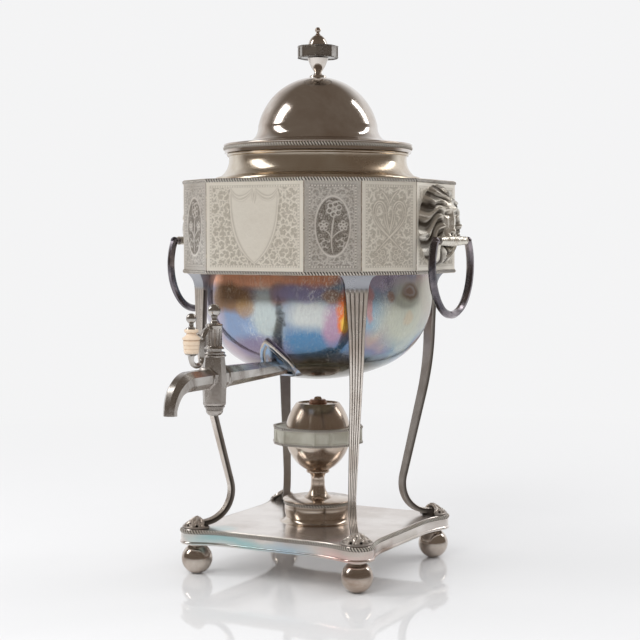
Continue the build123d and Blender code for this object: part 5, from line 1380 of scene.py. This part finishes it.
def lion_relief(u, v):
    """Height of the mask over its panel, and the depth of its grooves.

    A rounded mane carries locks that wave outwards from the brow; the face, brow, nose, cheeks and ears are hills."""
    side = np.abs(u)
    reach = np.hypot(u / MASK_HALF_WIDTH, v / MASK_HALF_HEIGHT)
    body = 9.4 * np.sqrt(np.clip(1 - reach**3.8, 0, 1))
    face = np.hypot(u / 13.5, (v - 1.0) / 17.5)
    outside = np.clip((face - 0.82) / 0.3, 0, 1)
    sway = np.arctan2(v - 2.0, u) + 0.30 * np.sin(reach * 7.5 + 1.0) * np.sign(u + 1e-9)
    lock = 1 - 2 * np.abs(np.sin(7 * sway)) ** 0.8
    strand = np.cos(42 * sway + 2.0 * np.sin(reach * 9.0))
    height = body + outside * np.clip(1.3 - reach * 0.6, 0, 1) * (1.25 * lock + 0.4 * strand)
    height += 2.6 * np.exp(-(face**4))
    height += hump(side, v, (6.4, 11.8), (4.6, 2.2), 2.4) - hump(side, v, (6.2, 7.8), (2.9, 1.6), 2.8)
    height += hump(side, v, (6.2, 7.4), (1.5, 1.0), 1.5)
    height += hump(u, v, (0, 3.0), (2.7, 8.5), 2.0) + hump(u, v, (0, -4.6), (4.2, 2.6), 2.2)
    height -= hump(side, v, (2.6, -6.4), (1.2, 1.0), 2.6)
    height += hump(side, v, (5.4, -8.6), (4.0, 2.6), 2.2)
    height += hump(side, v, (15.0, -2.5), (2.6, 8.0), 3.6) - hump(side, v, (10.6, -1.0), (1.8, 7.0), 1.8)
    height += hump(side, v, (22.5, 14.5), (3.8, 4.4), 2.4) - hump(side, v, (22.8, 14.5), (1.8, 2.2), 2.6)
    height += hump(u, v, (0, 19.0), (5.0, 5.0), 1.6) + hump(u, v, (0, -18.5), (7.0, 2.4), 2.4)
    mouth = np.exp(-(((v + 13.2) / 2.2) ** 2)) * np.clip(1 - (side / 11.0) ** 4, 0, 1)
    height -= 3.6 * mouth
    groove = outside * (0.95 * np.clip(-lock, 0, 1) ** 1.5 + 0.35 * np.clip(-strand, 0, 1))
    groove += hump(side, v, (6.2, 7.8), (2.6, 1.4), 0.9) + hump(side, v, (2.6, -6.4), (1.4, 1.2), 1.0)
    groove += hump(side, v, (22.8, 14.5), (1.9, 2.2), 0.9) + hump(side, v, (10.8, -1.0), (1.5, 6.5), 0.8) + 0.9 * mouth
    return np.maximum(height, 0.0), np.clip(groove, 0, 1)


def make_mask(side, bearing):
    """A mask: its relief over rings of points inside a scalloped oval, closed behind by one flat face."""
    radius = np.linspace(0, 1, MASK_RINGS)[:, None]
    angle = np.linspace(0, 2 * math.pi, MASK_RAYS, endpoint=False)[None]
    scallop = 1 + 0.05 * np.abs(np.sin(7.5 * angle)) - 0.03
    u = MASK_HALF_WIDTH * radius * scallop * np.cos(angle)
    v = MASK_HALF_HEIGHT * radius * scallop * np.sin(angle)
    height, groove = lion_relief(u, v)
    height = height * np.clip((1 - radius) * 14, 0, 1) ** 0.5
    outwards, sideways = at_bearing(bearing, 1.0), at_bearing(bearing + 90, 1.0)
    middle = BELT_TOP - BORDER_HEIGHT - 0.35 - MASK_HALF_HEIGHT
    points = outwards * (BELT_HIGH[0] + 0.1 + height)[..., None] + sideways * u[..., None]
    points = points + UP * (middle + v)[..., None]
    flat, faces, worn_and_shaded = grid(points, wear_and_shade=1 - groove)
    faces.append((np.arange(MASK_RAYS) + (MASK_RINGS - 1) * MASK_RAYS).tolist())
    make_piece(f"lion_{side}", [(flat, faces, worn_and_shaded)], "lion", "urn", [f"lion_mask_{side}"], sharp=75)


def make_roll(side, pivot):
    """The roll in a lion's mouth: a ring along the cross bar whose outside swells in fourteen waves."""
    low, high = span(f"ring_bush_{side}")
    share = np.linspace(-1, 1, 61)
    path = pivot + ALONG_BAR * (share * (high[1] - low[1]) / 2)[:, None]
    swell = 3.3 + 0.45 * np.cos(share * math.pi) + 0.28 * np.cos(share * math.pi * 14)
    radii = np.concatenate([swell, np.full(len(path), ROLL_BORE)])
    section = ring_section(24)[None] * radii[:, None, None]
    points = np.concatenate([path, path[::-1]])[:, None] + section[..., :1] * RIGHT + section[..., 1:] * UP
    make_piece(f"lip_roll_{side}", [grid(points, close_rows=True)], "lion", "urn", [f"ring_bush_{side}"])


def make_masks():
    for side, bearing, sign in (("right", 90.0, 1), ("left", 270.0, -1)):
        pivot = np.array([sign * PIVOT_AT, 0, PIVOT_HEIGHT])
        make_mask(side, bearing)
        make_roll(side, pivot)
        make_ring(side, pivot)


def make_ring(side, pivot):
    """An eight-sided ring, open at the top behind the cross bar, and the bar with its two knobs."""
    low, high = span(f"ring_pin_{side}")
    half_bar = (high[1] - low[1]) / 2 - KNOB_RADIUS
    gap = math.asin(half_bar / RING_RADIUS)
    turn = np.linspace(gap, 2 * math.pi - gap, 150)
    centre = pivot - UP * math.sqrt(RING_RADIUS**2 - half_bar**2)
    path = centre + RING_RADIUS * np.stack([np.zeros(150), np.sin(turn), np.cos(turn)], axis=1)
    ring = eight_sided(path, 2.75)
    replaced = [f"ring_handle_{side}"]
    make_piece(f"ring_{side}_facets", [ring], "ring", f"ring_{side}", replaced, sharp=24)
    parts = [round_tube(pivot + np.array([[-half_bar], [half_bar]]) * ALONG_BAR, 2.0, 24, RIGHT)]
    knob = np.linspace(0, math.pi, 19)
    for end in (-half_bar, half_bar):
        ball = pivot + (end - 3.1 * np.cos(knob))[:, None] * ALONG_BAR
        parts.append(round_tube(ball, np.maximum(KNOB_RADIUS * np.sin(knob), 0.02), 24, RIGHT))
    make_piece(f"cross_bar_{side}", parts, "ring", f"ring_{side}", [f"ring_pin_{side}"])


# Lamp

GLOBE_SHEET = 1.3
GLOBE_MOUTH = 16.0


def make_lamp_stem():
    seat = heights("lamp_drum")[1]
    low, high = span("lamp_foot")
    disc, bottom, top = high[0], low[2], high[2]
    disc_top, neck, bead = seat + 1.7, seat + 13.1, top - 2.2
    foot = line(
        (0, seat + 0.6), (16.6, seat + 0.6), (16.6, bottom), (17.9, bottom), (17.9, seat + 0.04),
        arc((disc - 0.4, seat + 0.04), (disc, seat + 0.6), (disc - 0.4, seat + 1.1), 5),
        arc((10.5, disc_top), (6.7, disc_top + 4.2), (5.2, neck), 16),
        arc((5.0, neck + 2.0), (5.3, bead - 2.4), (6.6, bead), 8),
        arc((7.6, bead), (8.7, bead + 1.1), (7.6, top), 8), (0, top),
    )
    make_piece("lamp_stem", [turned(foot, around=96)], "lamp", "lamp", ["lamp_foot"])


def globe_circle(globe, middle, x, height):
    """The circle that stands upright at the globe's middle and goes through a point, and the point's angle on it."""
    centre = (globe**2 - x**2 - (middle - height) ** 2) / (2 * (globe - x))
    return (centre, middle), globe - centre, math.degrees(math.atan2(height - middle, x - centre))


def make_lamp_globe():
    low, high = span("lamp_bowl")
    globe, bottom, middle = high[0], low[2], high[2]
    wall, mouth = globe - GLOBE_SHEET, GLOBE_MOUTH - GLOBE_SHEET
    centre, radius, turn = globe_circle(globe, middle, 8.3, bottom)
    bowl = line(
        (0, bottom), round_arc(centre, radius, turn, 0, 36), (wall, middle),
        round_arc(centre, radius - GLOBE_SHEET, 0, turn + 3, 30), (0, bottom + GLOBE_SHEET),
    )
    make_piece("lamp_globe_lower", [turned(bowl, around=128)], "lamp", "lamp", ["lamp_bowl"])
    top = heights("lamp_dome")[1]
    centre, radius, turn = globe_circle(globe, middle, GLOBE_MOUTH, top)
    dome = line(
        (wall, middle), round_arc(centre, radius, 0, turn, 36), (GLOBE_MOUTH - 0.4, top),
        (mouth, top), (mouth, top - 1.0), (6.6, top - 1.0), (6.6, top - 2.3), (mouth, top - 2.3),
        round_arc(centre, radius - GLOBE_SHEET, turn - 4, 0, 30),
    )
    make_piece("lamp_globe_upper", [turned(dome, around=128, loop=True)], "lamp", "lamp", ["lamp_dome"])


def make_lamp_band():
    low, high = span("lamp_band")
    bottom, top = low[2] + 1.2, high[2] - 1.2
    corner = high[0] / math.cos(math.radians(LION_HALF))
    sides = panelled_band(corner, bottom, top, 0.6, 1.3)
    ropes = [rope(twelve_sided(corner), level, 1.2, 0.5, pitch=1.9) for level in (bottom, top)]
    make_piece("lamp_band_panels", [sides], "band", "lamp", ["lamp_band"])
    make_piece("lamp_band_ropes", ropes, "rope", "lamp")


def make_wick():
    """The collar, and the holder that lifts out of it with the wick."""
    bottom, rim = heights("lamp_collar")
    collar = line((5.05, bottom + 0.1), (6.55, bottom + 0.1), (6.55, rim - 0.5), (6.2, rim), (5.05, rim))
    make_piece("collar", [turned(collar, around=64, loop=True)], "copper", "lamp", ["lamp_collar"])
    bottom, top = heights("wick_holder")
    tube = line(
        (2.7, bottom), (5.0, bottom), (5.0, rim + 0.02), (6.0, rim + 0.02), (6.0, top - 0.4), (5.6, top), (2.7, top)
    )
    make_piece("wick_tube", [turned(tube, around=64, loop=True)], "copper", "wick_holder", ["wick_holder"])
    bottom, top = heights("wick")
    tuft = line((0, bottom), (2.6, bottom), (2.65, top - 1.0), (2.2, top - 0.2), (1.2, top), (0, top - 0.3))

    def fray(angle, height):
        return 1 + 0.07 * np.sin(7 * angle + height * 1.3) * (height > top - 1.2)

    make_piece("braided_wick", [turned(tuft, around=48, ripple=fray)], "cotton", "wick_holder", ["wick"])


def make_lamp():
    make_lamp_stem()
    make_lamp_globe()
    make_lamp_band()
    make_wick()


# Stage

CAMERA_BEARING = 28.0
CAMERA_DISTANCE = 1102.66
CAMERA_HEIGHT = 245.23
CAMERA_PITCH = 0.0555
CAMERA_YAW = 0.0014
CAMERA_LENS = 83.4
PAPER_WHITE = (0.905, 0.905, 0.91)


def area_light(name, bearing, distance, height, width, tall, power):
    """A soft box that points at the urn's middle."""
    data = bpy.data.lights.new(name, "AREA")
    data.shape, data.size, data.size_y, data.energy = "RECTANGLE", width * MM, tall * MM, power
    lamp = bpy.data.objects.new(name, data)
    lamp.location = Vector(at_bearing(bearing, distance, height) * MM)
    lamp.rotation_mode = "QUATERNION"
    lamp.rotation_quaternion = (Vector((0, 0, 0.22)) - lamp.location).to_track_quat("-Z", "Y")
    bpy.context.scene.collection.objects.link(lamp)
    return lamp


class Sky(Finish):
    """The world and the nodes that are added to it."""

    def __init__(self, world):
        self.tree = world.node_tree


def make_world():
    """White for the camera; for metal a dark room before the urn and a white sweep behind it; else an even light."""
    world = bpy.data.worlds.new("studio")
    bpy.context.scene.world = world
    world.use_nodes = True
    sky = Sky(world)
    direction = sky.node("ShaderNodeTexCoord", output="Generated")
    front = tuple(float(v) for v in at_bearing(CAMERA_BEARING, 1.0))
    facing = sky.vectors("DOT_PRODUCT", direction, front, output="Value")
    upright = sky.node("ShaderNodeSeparateXYZ", inputs=[direction], output="Z")
    sweep = (facing * -1.0).between(0.30, 0.60) * (1 - upright.between(0.45, 0.8))
    mirrored_light = sky.mix(sweep, (0.165, 0.135, 0.11), (0.90, 0.90, 0.91))
    light = sky.mix(sky.node("ShaderNodeLightPath", output="Is Glossy Ray"), (0.72, 0.72, 0.73), mirrored_light)
    light = sky.mix(sky.node("ShaderNodeLightPath", output="Is Camera Ray"), light, PAPER_WHITE)
    sky.plug(sky.tree.nodes["Background"].inputs["Color"], light)


def make_floor():
    """A pale disc that fades into the white world far from the urn."""
    turn = np.linspace(0, 2 * math.pi, 96, endpoint=False)
    mesh = bpy.data.meshes.new("floor")
    mesh.from_pydata([(4.0 * math.cos(t), 4.0 * math.sin(t), 0.0) for t in turn], [], [list(range(96))])
    floor = Finish("floor_pale")
    floor.set(Base_Color=tuple(colours().floor), Roughness=0.05, Specular_IOR_Level=0.22)
    distance = floor.vectors("LENGTH", floor.position, output="Value")
    far = distance.between(0.30, 1.0) * floor.node("ShaderNodeLightPath", output="Is Camera Ray")
    white = floor.node("ShaderNodeEmission", inputs=[PAPER_WHITE, 1.0])
    surface = floor.node("ShaderNodeMixShader", inputs=[far, Wire(floor, floor.shader.outputs[0]), white])
    floor.plug(floor.tree.nodes["Material Output"].inputs["Surface"], surface)
    mesh.materials.append(floor.material)
    ground = bpy.data.objects.new("floor", mesh)
    bpy.context.scene.collection.objects.link(ground)


def make_stage():
    make_world()
    make_floor()
    area_light("soft_box_left", CAMERA_BEARING - 86, 1300, 1080, 420, 900, 6.0)
    area_light("soft_box_right", CAMERA_BEARING + 112, 1400, 1120, 240, 900, 4.0)
    area_light("soft_box_front", CAMERA_BEARING - 30, 1500, 1300, 900, 900, 9.5).visible_glossy = False
    camera = bpy.data.objects.new("camera", bpy.data.cameras.new("camera"))
    camera.data.lens = CAMERA_LENS
    camera.data.sensor_width = 36.0
    camera.location = Vector(at_bearing(CAMERA_BEARING, CAMERA_DISTANCE, CAMERA_HEIGHT) * MM)
    aside, outwards = at_bearing(CAMERA_BEARING + 90, CAMERA_YAW), at_bearing(CAMERA_BEARING, 1.0)
    forward = aside - outwards - UP * math.tan(CAMERA_PITCH)
    camera.rotation_mode = "QUATERNION"
    camera.rotation_quaternion = Vector(forward).to_track_quat("-Z", "Y")
    bpy.context.scene.collection.objects.link(camera)
    bpy.context.scene.camera = camera
    bpy.context.scene.view_settings.view_transform = "Standard"


# Operators


class URN_OT_finishes(bpy.types.Operator):
    """Makes every finish of the urn"""

    bl_idname = "urn.finishes"
    bl_label = "Finishes"

    def execute(self, context):
        make_finishes()
        return {"FINISHED"}


class URN_OT_stand(bpy.types.Operator):
    """Makes the base, its rope, the ball feet and the lamp's drum"""

    bl_idname = "urn.stand"
    bl_label = "Stand"

    def execute(self, context):
        make_stand()
        return {"FINISHED"}


class URN_OT_legs(bpy.types.Operator):
    """Makes the four reeded legs and their paws"""

    bl_idname = "urn.legs"
    bl_label = "Legs"

    def execute(self, context):
        make_legs()
        return {"FINISHED"}


class URN_OT_bowl(bpy.types.Operator):
    """Makes the bowl and the rims of the tap's plate"""

    bl_idname = "urn.bowl"
    bl_label = "Bowl"

    def execute(self, context):
        make_bowl()
        return {"FINISHED"}


class URN_OT_belt(bpy.types.Operator):
    """Makes the twelve engraved panels and the ropes over and under them"""

    bl_idname = "urn.belt"
    bl_label = "Belt"

    def execute(self, context):
        make_belt()
        return {"FINISHED"}


class URN_OT_lid(bpy.types.Operator):
    """Makes the neck, the lid and the lid's rope"""

    bl_idname = "urn.lid"
    bl_label = "Lid"

    def execute(self, context):
        make_lid()
        return {"FINISHED"}


class URN_OT_finial(bpy.types.Operator):
    """Makes the finial on the lid"""

    bl_idname = "urn.finial"
    bl_label = "Finial"

    def execute(self, context):
        make_finial()
        return {"FINISHED"}


class URN_OT_tap(bpy.types.Operator):
    """Makes the tap's shank, barrel and spout"""

    bl_idname = "urn.tap"
    bl_label = "Tap"

    def execute(self, context):
        make_tap()
        return {"FINISHED"}


class URN_OT_key(bpy.types.Operator):
    """Makes the tap's fluted post, lever and ivory grip"""

    bl_idname = "urn.key"
    bl_label = "Tap key"

    def execute(self, context):
        make_key()
        return {"FINISHED"}


class URN_OT_masks(bpy.types.Operator):
    """Makes the lion masks and their ring handles"""

    bl_idname = "urn.masks"
    bl_label = "Masks and rings"

    def execute(self, context):
        make_masks()
        return {"FINISHED"}


class URN_OT_lamp(bpy.types.Operator):
    """Makes the spirit lamp"""

    bl_idname = "urn.lamp"
    bl_label = "Lamp"

    def execute(self, context):
        make_lamp()
        return {"FINISHED"}


class URN_OT_stage(bpy.types.Operator):
    """Makes the floor, the lights and the camera"""

    bl_idname = "urn.stage"
    bl_label = "Stage"

    def execute(self, context):
        make_stage()
        return {"FINISHED"}


OPERATORS = (
    URN_OT_finishes, URN_OT_stand, URN_OT_legs, URN_OT_bowl, URN_OT_belt, URN_OT_lid, URN_OT_finial,
    URN_OT_tap, URN_OT_key, URN_OT_masks, URN_OT_lamp, URN_OT_stage,
)


class URN_PT_panel(bpy.types.Panel):
    """Lists the urn's pieces in the sidebar"""

    bl_label = "Tea Urn"
    bl_idname = "URN_PT_panel"
    bl_space_type = "VIEW_3D"
    bl_region_type = "UI"
    bl_category = "Tea Urn"

    def draw(self, context):
        for group in (context.scene.urn_sizes, context.scene.urn_colours):
            for key in group.bl_rna.properties.keys():
                if key not in ("rna_type", "name"):
                    self.layout.prop(group, key)
        for operator in OPERATORS:
            self.layout.operator(operator.bl_idname)


CLASSES = (UrnSizes, UrnColours, *OPERATORS, URN_PT_panel)


def register():
    for cls in CLASSES:
        bpy.utils.register_class(cls)
    bpy.types.Scene.urn_sizes = bpy.props.PointerProperty(type=UrnSizes)
    bpy.types.Scene.urn_colours = bpy.props.PointerProperty(type=UrnColours)


def unregister():
    del bpy.types.Scene.urn_colours
    del bpy.types.Scene.urn_sizes
    for cls in reversed(CLASSES):
        bpy.utils.unregister_class(cls)


def main():
    register()
    for operator in OPERATORS:
        group, name = operator.bl_idname.split(".")
        getattr(getattr(bpy.ops, group), name)()


if __name__ == "__main__":
    main()
